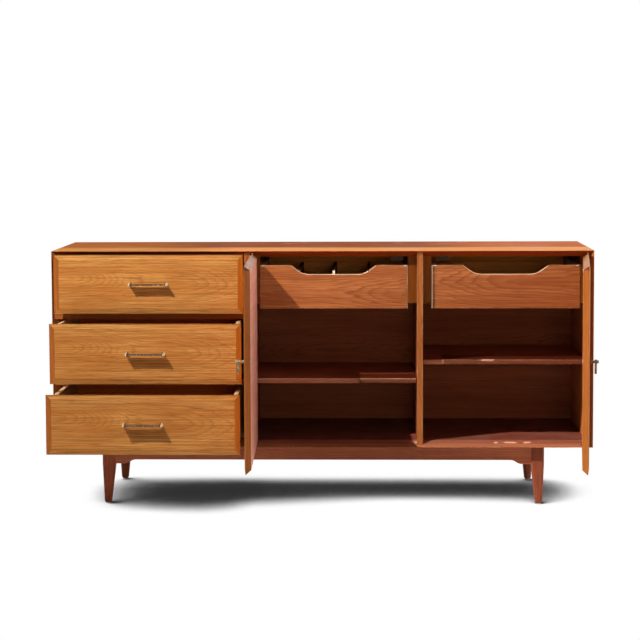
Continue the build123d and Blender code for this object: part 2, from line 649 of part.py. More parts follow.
# Leg base: splayed round-toed legs with square heads, aprons between them and glue blocks inside
def leg_pair(top_y, foot_y):
    """Two legs of one row, each a square head that runs into an oblique taper with a round toe."""
    head_z = CASE_BASE_Z - LEG_BLOCK_H
    with BuildPart() as legs:
        for hand in (-1, 1):
            with BuildSketch(Plane.XY.offset(head_z), mode=Mode.PRIVATE) as head:
                with Locations((hand * LEG_TOP_X, top_y)):
                    RectangleRounded(LEG_BLOCK, LEG_BLOCK, LEG_BLOCK_ROUND)
            with BuildSketch(Plane.XY.offset(GLIDE_T + LEG_TOE_H), mode=Mode.PRIVATE) as foot:
                with Locations((hand * LEG_FOOT_X, foot_y)):
                    RectangleRounded(LEG_FOOT_W, LEG_FOOT_W, LEG_FOOT_ROUND)
            with BuildSketch(Plane.XY.offset(GLIDE_T), mode=Mode.PRIVATE) as toe:
                with Locations((hand * LEG_FOOT_X, foot_y)):
                    RectangleRounded(LEG_TOE_W, LEG_TOE_W, LEG_TOE_ROUND)
            extrude(head.sketch, amount=LEG_BLOCK_H)
            loft([foot.sketch.faces()[0], head.sketch.faces()[0]])
            loft([toe.sketch.faces()[0], foot.sketch.faces()[0]])
    return legs.part


save(leg_pair(LEG_FRONT_TOP_Y, LEG_FRONT_FOOT_Y), "legs_front")
save(leg_pair(LEG_REAR_TOP_Y, LEG_REAR_FOOT_Y), "legs_rear")


def long_apron(front_y):
    """A long apron whose lower edge sweeps down to the legs."""
    reach = LEG_TOP_X - LEG_BLOCK / 2
    low_z = CASE_BASE_Z - APRON_END_H
    high_z = CASE_BASE_Z - APRON_H
    bend = (APRON_SWEEP_OUT + APRON_SWEEP_IN) / 2
    with BuildPart() as apron:
        with BuildSketch(Plane.XZ.offset(-front_y)):
            with BuildLine():
                Polyline((-reach, low_z), (-reach, CASE_BASE_Z), (reach, CASE_BASE_Z),
                         (reach, low_z), (APRON_SWEEP_OUT, low_z))
                Bezier((APRON_SWEEP_OUT, low_z), (bend, low_z), (bend, high_z),
                       (APRON_SWEEP_IN, high_z))
                Line((APRON_SWEEP_IN, high_z), (-APRON_SWEEP_IN, high_z))
                Bezier((-APRON_SWEEP_IN, high_z), (-bend, high_z), (-bend, low_z),
                       (-APRON_SWEEP_OUT, low_z))
                Line((-APRON_SWEEP_OUT, low_z), (-reach, low_z))
            make_face()
        extrude(amount=-APRON_T)
    return apron.part


APRON_FRONT_Y = LEG_FRONT_TOP_Y - LEG_BLOCK / 2 + APRON_SET
APRON_REAR_Y = LEG_REAR_TOP_Y + LEG_BLOCK / 2 - APRON_SET - APRON_T
save(long_apron(APRON_FRONT_Y), "apron_front")
save(long_apron(APRON_REAR_Y), "apron_rear")

APRON_SIDE_X = LEG_TOP_X + LEG_BLOCK / 2 - APRON_SET
with BuildPart() as aprons_side:
    for hand in (-1, 1):
        outer_x = hand * APRON_SIDE_X
        inner_x = hand * (APRON_SIDE_X - APRON_T)
        block(min(outer_x, inner_x), max(outer_x, inner_x), LEG_FRONT_TOP_Y + LEG_BLOCK / 2,
              LEG_REAR_TOP_Y - LEG_BLOCK / 2, CASE_BASE_Z - SIDE_APRON_H, CASE_BASE_Z)
save(aprons_side.part, "aprons_side")

with BuildPart() as corner_blocks:
    for hand in (-1, 1):
        corner_x = hand * (LEG_TOP_X - LEG_BLOCK / 2)
        for corner_y, step in ((APRON_FRONT_Y + APRON_T, 1), (APRON_REAR_Y, -1)):
            prism(Plane.XY.offset(CASE_BASE_Z - BLOCK_H),
                  ((corner_x, corner_y), (corner_x - hand * BLOCK_LEG, corner_y),
                   (corner_x, corner_y + step * (LEG_BLOCK - APRON_SET - APRON_T))), BLOCK_H)
save(corner_blocks.part, "corner_blocks")

with BuildPart() as floor_glides:
    for foot_y in (LEG_FRONT_FOOT_Y, LEG_REAR_FOOT_Y):
        for hand in (-1, 1):
            rod(Plane.XY, (hand * LEG_FOOT_X, foot_y), GLIDE_R, GLIDE_T)
    fillet(floor_glides.edges().group_by(Axis.Z)[0], GLIDE_ROUND)
save(floor_glides.part, "floor_glides")
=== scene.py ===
"""Looks of a long walnut dresser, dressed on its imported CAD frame.

Every CAD solid keeps its place and shape.  This script gives each one a wood, metal or moulded
finish, eases its edges, adds the small fixings, and sets the floor, the lights and the camera.
Lengths are metres in the frame of the CAD: +X right along the front, +Y to the back, +Z up.
"""
import json
import logging
import math
import random
from dataclasses import dataclass, field, replace
from enum import Enum
from typing import Union

import bmesh
import bpy
from bpy.types import Material, Node, NodeSocket, NodeTree
from mathutils import Matrix, Vector


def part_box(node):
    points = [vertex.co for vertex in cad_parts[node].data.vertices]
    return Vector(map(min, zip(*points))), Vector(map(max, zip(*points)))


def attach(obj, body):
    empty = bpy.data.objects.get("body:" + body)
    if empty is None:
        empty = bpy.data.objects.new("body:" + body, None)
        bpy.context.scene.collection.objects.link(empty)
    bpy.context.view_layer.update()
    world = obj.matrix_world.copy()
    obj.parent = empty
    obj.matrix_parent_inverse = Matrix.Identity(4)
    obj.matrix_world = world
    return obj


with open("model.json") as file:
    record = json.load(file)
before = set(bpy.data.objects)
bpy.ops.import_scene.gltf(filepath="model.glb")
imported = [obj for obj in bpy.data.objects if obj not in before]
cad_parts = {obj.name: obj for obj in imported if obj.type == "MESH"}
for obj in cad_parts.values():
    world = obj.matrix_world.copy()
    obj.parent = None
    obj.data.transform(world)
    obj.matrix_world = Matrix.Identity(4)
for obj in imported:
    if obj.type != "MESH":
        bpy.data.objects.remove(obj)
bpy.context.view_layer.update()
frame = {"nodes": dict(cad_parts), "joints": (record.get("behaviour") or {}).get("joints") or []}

LOG = logging.getLogger("dresser")

Colour = tuple[float, float, float]
Triple = tuple[float, float, float]
Stops = tuple[tuple[float, float], ...]
Feed = Union[float, tuple, Vector, NodeSocket]
Feeds = dict[Union[int, str], Feed]


class Grain(Enum):
    """Numbers of the object axes along the grain, across the board and through the board."""

    X_ON_FRONT = (0, 2, 1)
    X_ON_TOP = (0, 1, 2)
    Y_ON_TOP = (1, 0, 2)
    Y_ON_SIDE = (1, 2, 0)
    Z_ON_FRONT = (2, 0, 1)
    Z_ON_SIDE = (2, 1, 0)


class Effect(Enum):
    """Names of the shared shader groups."""

    BOARD_GRAIN = "board_grain"
    EDGE_WEAR = "edge_wear"
    MITRED_BORDER = "mitred_border"
    DUST_FILM = "dust_film"
    SCUFF_MARKS = "scuff_marks"
    TARNISH = "tarnish"
    AGED_ZONE = "aged_zone"
    WORN_SPOT = "worn_spot"


@dataclass(frozen=True)
class Cloud:
    """A noise: frequencies per metre along three axes, detail, roughness and the span it shows."""

    stretch: Triple
    detail: float = 2.0
    roughness: float = 0.5
    span: tuple[float, ...] = ()


def opaque(colour: Colour) -> tuple[float, float, float, float]:
    """Return a colour with full opacity."""
    return (*colour, 1.0)


def shade(colour: Colour, factor: float) -> Colour:
    """Return a colour made lighter or darker by a factor."""
    return tuple(min(1.0, channel * factor) for channel in colour)


class NodeBench:
    """Short calls that add, feed and link nodes in one shader tree."""

    def __init__(self, tree: NodeTree) -> None:
        """Keep the tree that the calls work on."""
        self.tree = tree

    def fill(self, node: Node, feeds: Feeds) -> Node:
        """Feed a node: link sockets into its inputs, or set them to plain values.

        Args:
            node: the node.
            feeds: what goes into each input, by its name or number.

        Returns:
            The same node.
        """
        for key, value in feeds.items():
            if isinstance(value, NodeSocket):
                self.tree.links.new(value, node.inputs[key])
            else:
                node.inputs[key].default_value = value
        return node

    def add(self, kind: str, feeds: Feeds | None = None, **settings: object) -> Node:
        """Add a node.

        Args:
            kind: Blender's name of the node type.
            feeds: what goes into each input, by its name or number.
            settings: attributes to set on the node.

        Returns:
            The new node.
        """
        node = self.tree.nodes.new(kind)
        for key, value in settings.items():
            setattr(node, key, value)
        return self.fill(node, feeds or {})

    def maths(self, operation: str, *values: Feed, clamp: bool = False) -> NodeSocket:
        """Return the result of a scalar sum."""
        feeds = dict(enumerate(values))
        return self.add("ShaderNodeMath", feeds, operation=operation, use_clamp=clamp).outputs[0]

    def times(self, first: Feed, second: Feed) -> NodeSocket:
        """Return the product of two values."""
        return self.maths("MULTIPLY", first, second)

    def minus(self, first: Feed, second: Feed, clamp: bool = False) -> NodeSocket:
        """Return the difference of two values."""
        return self.maths("SUBTRACT", first, second, clamp=clamp)

    def scaled(self, value: Feed, factor: Feed, base: Feed, clamp: bool = False) -> NodeSocket:
        """Return a value times a factor, added to a base."""
        return self.maths("MULTIPLY_ADD", value, factor, base, clamp=clamp)

    def vectors(self, operation: str, *values: Feed) -> NodeSocket:
        """Return the result of a vector sum, which is a plain value for a length."""
        node = self.add("ShaderNodeVectorMath", dict(enumerate(values)), operation=operation)
        return node.outputs["Value" if operation == "LENGTH" else "Vector"]

    def split(self, vector: Feed) -> tuple[NodeSocket, ...]:
        """Return the three parts of a vector."""
        return tuple(self.add("ShaderNodeSeparateXYZ", {0: vector}).outputs)

    def join(self, *parts: Feed) -> NodeSocket:
        """Return a vector made of three parts."""
        return self.add("ShaderNodeCombineXYZ", dict(enumerate(parts))).outputs[0]

    def blend(self, factor: Feed, first: Feed, second: Feed, mode: str = "MIX") -> NodeSocket:
        """Return a blend of two colours."""
        feeds = {0: factor, 6: first, 7: second}
        return self.add("ShaderNodeMix", feeds, data_type="RGBA", blend_type=mode).outputs[2]

    def spread(self, value: Feed, *span: Feed) -> NodeSocket:
        """Return a value eased from a low and a high end to 0 and 1, or to two more ends given."""
        feeds = dict(enumerate((value, *span)))
        return self.add("ShaderNodeMapRange", feeds, interpolation_type="SMOOTHSTEP").outputs[0]

    def beyond(self, value: Feed, limit: float, blur: float) -> NodeSocket:
        """Return a mask of the part past a limit, blurred on both sides of it."""
        return self.spread(value, limit - blur, limit + blur)

    def noise(self, vector: Feed, cloud: Cloud, output: Union[int, str] = 0) -> NodeSocket:
        """Add a noise.

        Args:
            vector: position that it is laid on.
            cloud: its grain.
            output: name or number of the output that is wanted.

        Returns:
            The output, spread over the cloud's span where it has one.
        """
        laid = self.vectors("MULTIPLY", vector, cloud.stretch)
        node = self.add("ShaderNodeTexNoise", {"Vector": laid, "Scale": 1.0, "Detail": cloud.detail,
                                               "Roughness": cloud.roughness})
        result = node.outputs[output]
        return self.spread(result, *cloud.span) if cloud.span else result

    def ramp(self, value: Feed, stops: Stops) -> NodeSocket:
        """Pass a value through a curve.

        Args:
            value: where on the curve.
            stops: position and height pairs of the curve.

        Returns:
            The height of the curve there.
        """
        node = self.add("ShaderNodeValToRGB", {0: value})
        points = node.color_ramp.elements
        while len(points) < len(stops):
            points.new(0.5)
        for point, (place, height) in zip(points, stops):
            point.position = place
            point.color = opaque((height,) * 3)
        return node.outputs[0]

    def bump(self, height: Feed, strength: float, depth: float) -> NodeSocket:
        """Return a normal bent by a height."""
        feeds = {"Strength": strength, "Distance": depth, "Height": height}
        return self.add("ShaderNodeBump", feeds).outputs[0]

    def place(self, effect: Effect, **inputs: Feed) -> Node:
        """Place a shared group and set its inputs, named with underscores for spaces."""
        feeds = {key.replace("_", " "): value for key, value in inputs.items()}
        return self.add("ShaderNodeGroup", feeds, node_tree=bpy.data.node_groups[effect.value])


class SharedEffects:
    """Builds the shader groups that the finishes have in common."""

    BOX = ("Position", "Centre", "Half Size")
    # Growth rings and the fibres between them
    SWAY = Cloud((1.7, 7.0, 7.0))
    TONGUE_PHASE = 1.1
    TONGUE_SPAN = (0.2, -0.8)
    TONGUE_REACH = (0.052, 0.006)
    JITTER = Cloud((9.0, 120.0, 120.0), 3.0, 0.6)
    JITTER_SHARE = 1.3
    RING_CURVE = ((0.0, 0.0), (0.5, 0.22), (0.84, 1.0), (1.0, 0.0))
    YEAR_LEAST = 0.35
    YEAR_SHARE = 0.65
    FIBRE = Cloud((4.0, 260.0, 260.0), 4.0, 0.62)
    PORE = Cloud((16.0, 900.0, 900.0), 1.0, span=(0.58, 0.70))
    DRIFT = Cloud((2.2, 24.0, 24.0), 4.0, 0.55)
    # Rubbed edges and joint lines
    RUB = Cloud((70.0, 70.0, 70.0), 4.0, 0.7, (0.30, 0.75, 0.15, 1.9))
    RUB_PATCH = Cloud((9.0, 9.0, 9.0), 3.0, 0.6, (0.32, 0.62))
    JOINT_LINE = 0.0004
    JOINT_REACH = 0.001
    # Dust, smudges and scratches, and the edges that look up, which take painted highlights
    CREST_SPAN = (0.15, 0.45)
    UPWARD_SPAN = (0.75, 0.98)
    FILM = Cloud((14.0, 14.0, 14.0), 5.0, 0.65, (0.30, 0.75))
    SPECK = Cloud((420.0, 420.0, 420.0), span=(0.35, 0.7, 0.5))
    SMUDGE = Cloud((6.0, 6.0, 11.0), 3.0, 0.6, (0.25, 0.75))
    SCRATCH = Cloud((3.5, 150.0, 150.0), span=(0.63, 0.70))
    GATHER = Cloud((3.0, 7.0, 7.0), span=(0.50, 0.66))
    # Aged metal
    STAIN = Cloud((180.0, 180.0, 180.0), 5.0, 0.65, (0.34, 0.66))
    BRUSH = Cloud((60.0, 1800.0, 1800.0))
    # Ragged borders of tone zones of painted light and shade, and of patches of wear and painted
    # light
    ZONE_EDGE = Cloud((3.0, 30.0, 30.0), 4.0, 0.6)
    ZONE_SHARE = 0.7
    SPOT_EDGE = Cloud((160.0, 260.0, 260.0), 4.0, 0.7)
    SPOT_SHARE = 2.2
    SPOT_SPAN = (1.0, 0.7)

    def open_group(self, effect: Effect, vectors: tuple[str, ...], values: tuple[str, ...],
                   results: tuple[str, ...]) -> tuple[NodeBench, dict[str, NodeSocket], Node]:
        """Start a group.

        Args:
            effect: which group it is.
            vectors: names of the vector inputs.
            values: names of the scalar inputs.
            results: names of the scalar outputs.

        Returns:
            The bench, the sockets of the inputs by name, and the node that takes the outputs.
        """
        group = bpy.data.node_groups.new(effect.value, "ShaderNodeTree")
        for names, way, kind in ((vectors, "INPUT", "NodeSocketVector"),
                                 (values, "INPUT", "NodeSocketFloat"),
                                 (results, "OUTPUT", "NodeSocketFloat")):
            for name in names:
                group.interface.new_socket(name=name, in_out=way, socket_type=kind)
        bench = NodeBench(group)
        given = {socket.name: socket for socket in bench.add("NodeGroupInput").outputs}
        return bench, given, bench.add("NodeGroupOutput")

    def inset(self, bench: NodeBench, given: dict[str, NodeSocket]) -> tuple[NodeSocket, ...]:
        """Return how far the position lies inside its box on each axis."""
        offset = bench.vectors("SUBTRACT", given["Position"], given["Centre"])
        return bench.split(
            bench.vectors("SUBTRACT", given["Half Size"], bench.vectors("ABSOLUTE", offset)))

    def board_grain(self) -> None:
        """Growth rings round a sloping pith line, with fibres, pores and slow drift."""
        bench, given, made = self.open_group(
            Effect.BOARD_GRAIN, ("Position", "Pith", "Slope"),
            ("Ring Width", "Wander", "Swell Length"), ("Ring", "Fibre", "Pore", "Drift", "Flame"))
        local = bench.vectors("SUBTRACT", given["Position"], given["Pith"])
        along, across, depth = bench.split(local)
        slope_across, slope_depth, swell_phase = bench.split(given["Slope"])
        sway_across, sway_depth, _ = bench.split(bench.noise(local, self.SWAY, "Color"))
        turn = bench.maths("DIVIDE", math.tau, given["Swell Length"])
        swing = bench.scaled(along, turn, swell_phase)
        swell = bench.maths("DIVIDE", bench.maths("SINE", swing), turn)
        climb = bench.times(bench.maths("ADD", along, swell), slope_depth)
        wide = bench.scaled(along, slope_across, across)
        wide = bench.scaled(bench.minus(sway_across, 0.5), given["Wander"], wide)
        deep = bench.maths("ADD", depth, climb)
        deep = bench.scaled(bench.minus(sway_depth, 0.5), given["Wander"], deep)
        tongue = bench.maths("COSINE", bench.maths("ADD", swing, self.TONGUE_PHASE))
        inward = bench.spread(bench.maths("ABSOLUTE", wide), *self.TONGUE_REACH)
        radius = bench.vectors("LENGTH", bench.join(0.0, wide, deep))
        phase = bench.maths("DIVIDE", radius, given["Ring Width"])
        phase = bench.scaled(bench.noise(local, self.JITTER), self.JITTER_SHARE, phase)
        ring = bench.ramp(bench.maths("FRACT", phase), self.RING_CURVE)
        year = bench.add("ShaderNodeTexWhiteNoise", noise_dimensions="1D")
        bench.fill(year, {"W": bench.maths("FLOOR", phase)})
        strength = bench.scaled(year.outputs["Value"], self.YEAR_SHARE, self.YEAR_LEAST)
        bench.fill(made, {"Ring": bench.times(ring, strength),
                          "Fibre": bench.noise(local, self.FIBRE),
                          "Pore": bench.noise(local, self.PORE),
                          "Drift": bench.noise(local, self.DRIFT),
                          "Flame": bench.times(bench.spread(tongue, *self.TONGUE_SPAN), inward)})

    def edge_wear(self) -> None:
        """Rubbed edges: the second smallest distance to the faces of a piece's own box."""
        bench, given, made = self.open_group(Effect.EDGE_WEAR, self.BOX, ("Reach",), ("Wear",))
        first, second, third = self.inset(bench, given)
        low = bench.maths("MINIMUM", first, second)
        high = bench.maths("MAXIMUM", first, second)
        middle = bench.maths("MAXIMUM", low, bench.maths("MINIMUM", high, third))
        reach = bench.times(given["Reach"], bench.noise(given["Position"], self.RUB))
        rubbed = bench.minus(1.0, bench.maths("DIVIDE", middle, reach), clamp=True)
        patch = bench.noise(given["Position"], self.RUB_PATCH)
        bench.fill(made, {"Wear": bench.times(rubbed, patch)})

    def mitred_border(self) -> None:
        """Mitred border of a front: the end strips and the joint lines."""
        bench, given, made = self.open_group(
            Effect.MITRED_BORDER, self.BOX, ("Width",), ("Ends", "Joint"))
        blur = (-self.JOINT_LINE, self.JOINT_LINE)
        fade = (self.JOINT_REACH, self.JOINT_LINE)
        side, _, rise = self.inset(bench, given)
        near = bench.maths("MINIMUM", side, rise)
        border = bench.spread(bench.minus(given["Width"], near), *blur)
        skew = bench.minus(rise, side)
        mitre = bench.spread(bench.maths("ABSOLUTE", skew), *fade)
        arris = bench.maths("ABSOLUTE", bench.minus(near, given["Width"]))
        joint = bench.maths("MAXIMUM", bench.spread(arris, *fade), bench.times(mitre, border))
        bench.fill(made, {"Ends": bench.times(border, bench.spread(skew, *blur)), "Joint": joint})

    def dust_film(self) -> None:
        """Dust on faces that look up, smudges that dull the sheen, and edges that look up, which
        take painted highlights.
        """
        bench, given, made = self.open_group(
            Effect.DUST_FILM, ("Position",), (), ("Dust", "Smudge", "Crest"))
        rise = bench.split(bench.add("ShaderNodeNewGeometry").outputs["Normal"])[2]
        cloud, speck = (bench.noise(given["Position"], part) for part in (self.FILM, self.SPECK))
        film = bench.times(bench.spread(rise, *self.UPWARD_SPAN), bench.times(cloud, speck))
        bench.fill(made, {"Dust": film, "Smudge": bench.noise(given["Position"], self.SMUDGE),
                          "Crest": bench.spread(rise, *self.CREST_SPAN)})

    def scuff_marks(self) -> None:
        """Long thin scratches, gathered in patches."""
        bench, given, made = self.open_group(Effect.SCUFF_MARKS, ("Position",), (), ("Scuff",))
        fine, patch = (bench.noise(given["Position"], part) for part in (self.SCRATCH, self.GATHER))
        bench.fill(made, {"Scuff": bench.times(fine, patch)})

    def tarnish(self) -> None:
        """Dark patches and fine brush lines of aged metal."""
        bench, given, made = self.open_group(Effect.TARNISH, ("Position",), (), ("Patch", "Brush"))
        bench.fill(made, {"Patch": bench.noise(given["Position"], self.STAIN),
                          "Brush": bench.noise(given["Position"], self.BRUSH)})

    def aged_zone(self) -> None:
        """The part of a board past two limits, along X and along Y, with a ragged soft edge."""
        bench, given, made = self.open_group(
            Effect.AGED_ZONE, ("Position",), ("Start X", "Start Y", "Soft X", "Soft Y"), ("Zone",))
        ragged = bench.minus(bench.noise(given["Position"], self.ZONE_EDGE), 0.5)
        spans = []
        for axis, spot in zip("XY", bench.split(given["Position"])):
            past = bench.minus(spot, given[f"Start {axis}"])
            offset = bench.maths("DIVIDE", past, given[f"Soft {axis}"])
            spans.append(bench.spread(bench.scaled(ragged, self.ZONE_SHARE, offset), -0.5, 0.5))
        bench.fill(made, {"Zone": bench.times(*spans)})

    def worn_spot(self) -> None:
        """A ragged patch round one point."""
        bench, given, made = self.open_group(Effect.WORN_SPOT, self.BOX, (), ("Spot",))
        offset = bench.vectors("SUBTRACT", given["Position"], given["Centre"])
        reach = bench.vectors("LENGTH", bench.vectors("DIVIDE", offset, given["Half Size"]))
        ragged = bench.minus(bench.noise(given["Position"], self.SPOT_EDGE), 0.5)
        reach = bench.scaled(ragged, self.SPOT_SHARE, reach)
        bench.fill(made, {"Spot": bench.spread(reach, *self.SPOT_SPAN)})

    def build(self) -> None:
        """Build every group once."""
        for make in (self.board_grain, self.edge_wear, self.mitred_border, self.dust_film,
                     self.scuff_marks, self.tarnish, self.aged_zone, self.worn_spot):
            make()
            LOG.info("shader group %s", make.__name__)


@dataclass(frozen=True)
class WoodFinish:
    """Colours and strengths of one wood as it is finished."""

    light: Colour
    mid: Colour
    dark: Colour
    worn: Colour
    ring_width: float = 0.0036
    ring: float = 0.55
    fibre: float = 0.45
    pore: float = 0.5
    roughness: float = 0.42
    specular: float = 0.06
    wear: float = 0.5
    dust: float = 0.08
    scuff: float = 0.0
    flame: float = 0.0

    def toned(self, factor: float) -> "WoodFinish":
        """Return the same finish with its colours made lighter or darker."""
        return replace(self, light=shade(self.light, factor), mid=shade(self.mid, factor),
                       dark=shade(self.dark, factor))


@dataclass(frozen=True)
class BoardCut:
    """How one board was cut: the grain axes and the pith line it was sawn round."""

    grain: Grain
    pith: Triple
    slope: Triple
    swell: float
    wander: float = 0.025


@dataclass(frozen=True)
class ToneAndShadeZone:
    """A zone whose colour is multiplied by a tint: limits along X and Y, their softness and the
    tint; it paints light and shade on the top and the shelves.
    """

    start_x: float
    start_y: float
    soft_x: float
    soft_y: float
    tint: Colour

    def on_board(self, low: Vector, high: Vector) -> "ToneAndShadeZone":
        """Measure the limits from a board's left front, or from its right end where below zero."""
        end = high.x if self.start_x < 0.0 else low.x
        return replace(self, start_x=end + self.start_x, start_y=low.y + self.start_y)


@dataclass(frozen=True)
class WearAndLightSpot:
    """A patch of another colour, for worn bare wood and for painted highlights and painted light:
    its middle, its half size and its colour.
    """

    centre: Triple
    half: Triple
    colour: Colour


@dataclass(frozen=True)
class BoardPlan:
    """What a board shows: finishes that change at limits along one axis, zones of painted light and
    shade, spots and a painted highlight.

    The first finish lies before the first limit, the others after each limit.  The leading finish
    sets sheen, wear and scuffs, and its edges that look up take the painted highlight's colour.
    """

    finishes: tuple[WoodFinish, ...]
    limits: tuple[float, ...] = ()
    axis: int = 1
    lead: int = 0
    zones: tuple[ToneAndShadeZone, ...] = ()
    spots: tuple[WearAndLightSpot, ...] = ()
    painted_highlight: Colour | None = None


@dataclass(frozen=True)
class FrontPlan:
    """What a front shows: face, end strip and back finishes, their cuts and the border's width."""

    face: WoodFinish
    strip: WoodFinish
    back: WoodFinish
    face_cut: BoardCut
    strip_cut: BoardCut
    border: float
    # Painted light: a tint that makes the right end strips lighter than the left
    right_painted_light: Colour | None = None


@dataclass(frozen=True)
class MetalFinish:
    """Colours and surface of one metal."""

    bright: Colour
    aged: Colour
    roughness: float = 0.32
    aged_roughness: float = 0.6


@dataclass(frozen=True)
class MouldedFinish:
    """Colour and surface of a plain moulded piece."""

    base: Colour
    pale: Colour
    roughness: float = 0.5
    specular: float = 0.1


# Woods by their light, middle, dark and worn colours
WALNUT = WoodFinish((0.76, 0.37, 0.105), (0.60, 0.222, 0.046), (0.24, 0.058, 0.008),
                    (0.80, 0.46, 0.20), ring_width=0.0042, ring=0.46, fibre=0.8, pore=0.8,
                    specular=0.10, flame=0.45)
WALNUT_END = WoodFinish((0.48, 0.145, 0.026), (0.40, 0.105, 0.016), (0.20, 0.045, 0.007),
                        (0.62, 0.28, 0.10), ring=0.4, specular=0.10)
CASE_WOOD = WoodFinish((0.54, 0.19, 0.050), (0.42, 0.130, 0.034), (0.20, 0.05, 0.012),
                       (0.70, 0.38, 0.18), specular=0.08)
TOP_WOOD = WoodFinish((0.83, 0.352, 0.118), (0.69, 0.265, 0.079), (0.30, 0.09, 0.025),
                      (0.70, 0.42, 0.24), roughness=0.6, specular=0.015, wear=0.35, dust=0.0,
                      scuff=0.5)
# Darker, redder wood under the top's upper face: painted shade and red bounce light on its
# underside and edges
UNDER_WOOD_SHADED = WoodFinish((0.36, 0.055, 0.008), (0.29, 0.042, 0.006), (0.14, 0.02, 0.003),
                        (0.6, 0.22, 0.08), specular=0.05)
BOX_WOOD = WoodFinish((0.66, 0.175, 0.029), (0.54, 0.13, 0.020), (0.28, 0.06, 0.008),
                      (0.8, 0.4, 0.2), roughness=0.6, specular=0.05)
INNER_WOOD = WoodFinish((0.36, 0.10, 0.04), (0.28, 0.07, 0.028), (0.13, 0.03, 0.012),
                        (0.55, 0.24, 0.13))
FLOOR_WOOD = WoodFinish((0.21, 0.048, 0.025), (0.16, 0.036, 0.019), (0.08, 0.018, 0.009),
                        (0.5, 0.2, 0.11))
EDGE_WOOD = WoodFinish((0.32, 0.10, 0.055), (0.25, 0.072, 0.040), (0.13, 0.034, 0.018),
                       (0.55, 0.26, 0.15))
# The shelf's front edge is painted paler than its top: painted light on the edge, painted shade on
# the top
SHELF_EDGE = WoodFinish((0.95, 0.38, 0.22), (0.88, 0.30, 0.165), (0.40, 0.12, 0.065),
                        (0.95, 0.5, 0.3))
SHELF_TOP = WoodFinish((0.40, 0.080, 0.028), (0.32, 0.064, 0.022), (0.15, 0.030, 0.010),
                       (0.5, 0.2, 0.11))
STRIP_WOOD = WoodFinish((0.42, 0.14, 0.062), (0.34, 0.105, 0.044), (0.17, 0.045, 0.018),
                        (0.62, 0.34, 0.18), specular=0.08, wear=0.7)
# Dark wood for the packing blocks beside the trays: painted shade, standing in for the trays'
# shadow
BLOCK_WOOD_SHADED = WoodFinish((0.26, 0.070, 0.007), (0.19, 0.048, 0.005), (0.10, 0.022, 0.003),
                        (0.5, 0.24, 0.1))
TRAY_WOOD = WoodFinish((0.56, 0.190, 0.060), (0.41, 0.116, 0.033), (0.15, 0.030, 0.008),
                       (0.80, 0.50, 0.28), ring=0.85, fibre=0.75, specular=0.10)
# Paler, pinker wood for the left door's back: painted sheen on its inner face
DOOR_BACK_SHEEN = WoodFinish((0.93, 0.42, 0.31), (0.85, 0.345, 0.245), (0.48, 0.16, 0.095),
                       (0.85, 0.55, 0.44), specular=0.08)
LEG_WOOD = WoodFinish((0.36, 0.098, 0.047), (0.28, 0.068, 0.032), (0.13, 0.028, 0.012),
                      (0.45, 0.17, 0.08), ring=0.35, specular=0.10)
APRON_WOOD = WoodFinish((0.66, 0.205, 0.10), (0.54, 0.158, 0.075), (0.26, 0.065, 0.03),
                        (0.6, 0.27, 0.15), ring=0.35, specular=0.10)
PALE_WOOD = WoodFinish((0.74, 0.50, 0.27), (0.62, 0.38, 0.18), (0.42, 0.22, 0.09),
                       (0.85, 0.68, 0.46), ring=0.3, roughness=0.6, specular=0.08)
# Pale wood for painted highlights on the trays' ends and the dividers' front ends
PALE_HIGHLIGHT = WoodFinish((0.95, 0.84, 0.64), (0.90, 0.76, 0.54), (0.62, 0.42, 0.24),
                       (1.0, 0.92, 0.78), ring=0.2, roughness=0.6)
# Very bright wood for the tray backs: painted light, standing in for the light that falls behind
# the scoops
TRAY_BACK_PAINTED_LIGHT = WoodFinish((1.0, 0.42, 0.10), (0.95, 0.34, 0.07), (0.50, 0.15, 0.03),
                       (0.8, 0.45, 0.2), roughness=0.6, specular=0.05)
BACK_PLY = WoodFinish((0.40, 0.125, 0.056), (0.31, 0.090, 0.042), (0.12, 0.031, 0.014),
                      (0.5, 0.24, 0.1), roughness=0.6, specular=0.05)
# Metals by their bright and aged colours, and the moulded pieces
BRASS = MetalFinish((0.80, 0.64, 0.42), (0.12, 0.07, 0.036))
STEEL = MetalFinish((0.66, 0.64, 0.61), (0.3, 0.26, 0.22))
DARK_PLASTIC = MouldedFinish((0.03, 0.013, 0.006), (0.07, 0.035, 0.02))


@dataclass(frozen=True)
class PieceSpace:
    """A piece's own space: its box and, for a door, its turn about the pivot."""

    centre: Vector = field(default_factory=Vector)
    half: Vector = field(default_factory=Vector)
    turn: float = 0.0
    pivot: Vector = field(default_factory=Vector)

    @classmethod
    def of_node(cls, node: str, turn: float = 0.0, pivot: Vector | None = None) -> "PieceSpace":
        """Measure the space of a CAD node.

        Args:
            node: name of the node.
            turn: angle in radians that takes the node back to its closed place.
            pivot: point that it turns about.

        Returns:
            The space in the turned frame.
        """
        origin = pivot or Vector()
        spin = Matrix.Rotation(turn, 3, "Z")
        points = [spin @ (corner.co - origin) for corner in frame["nodes"][node].data.vertices]
        low, high = (Vector([end(point[axis] for point in points) for axis in range(3)])
                     for end in (min, max))
        return cls((low + high) / 2, (high - low) / 2, turn, origin)

    def position(self, bench: NodeBench) -> NodeSocket:
        """Add the nodes that find the shading position in this space.

        Args:
            bench: bench of the material.

        Returns:
            The position.
        """
        spot = bench.add("ShaderNodeTexCoord").outputs["Object"]
        if not self.turn:
            return spot
        shift = -(Matrix.Rotation(self.turn, 3, "Z") @ self.pivot)
        feeds = {"Vector": spot, "Rotation": (0.0, 0.0, self.turn), "Location": shift}
        return bench.add("ShaderNodeMapping", feeds, vector_type="POINT").outputs[0]


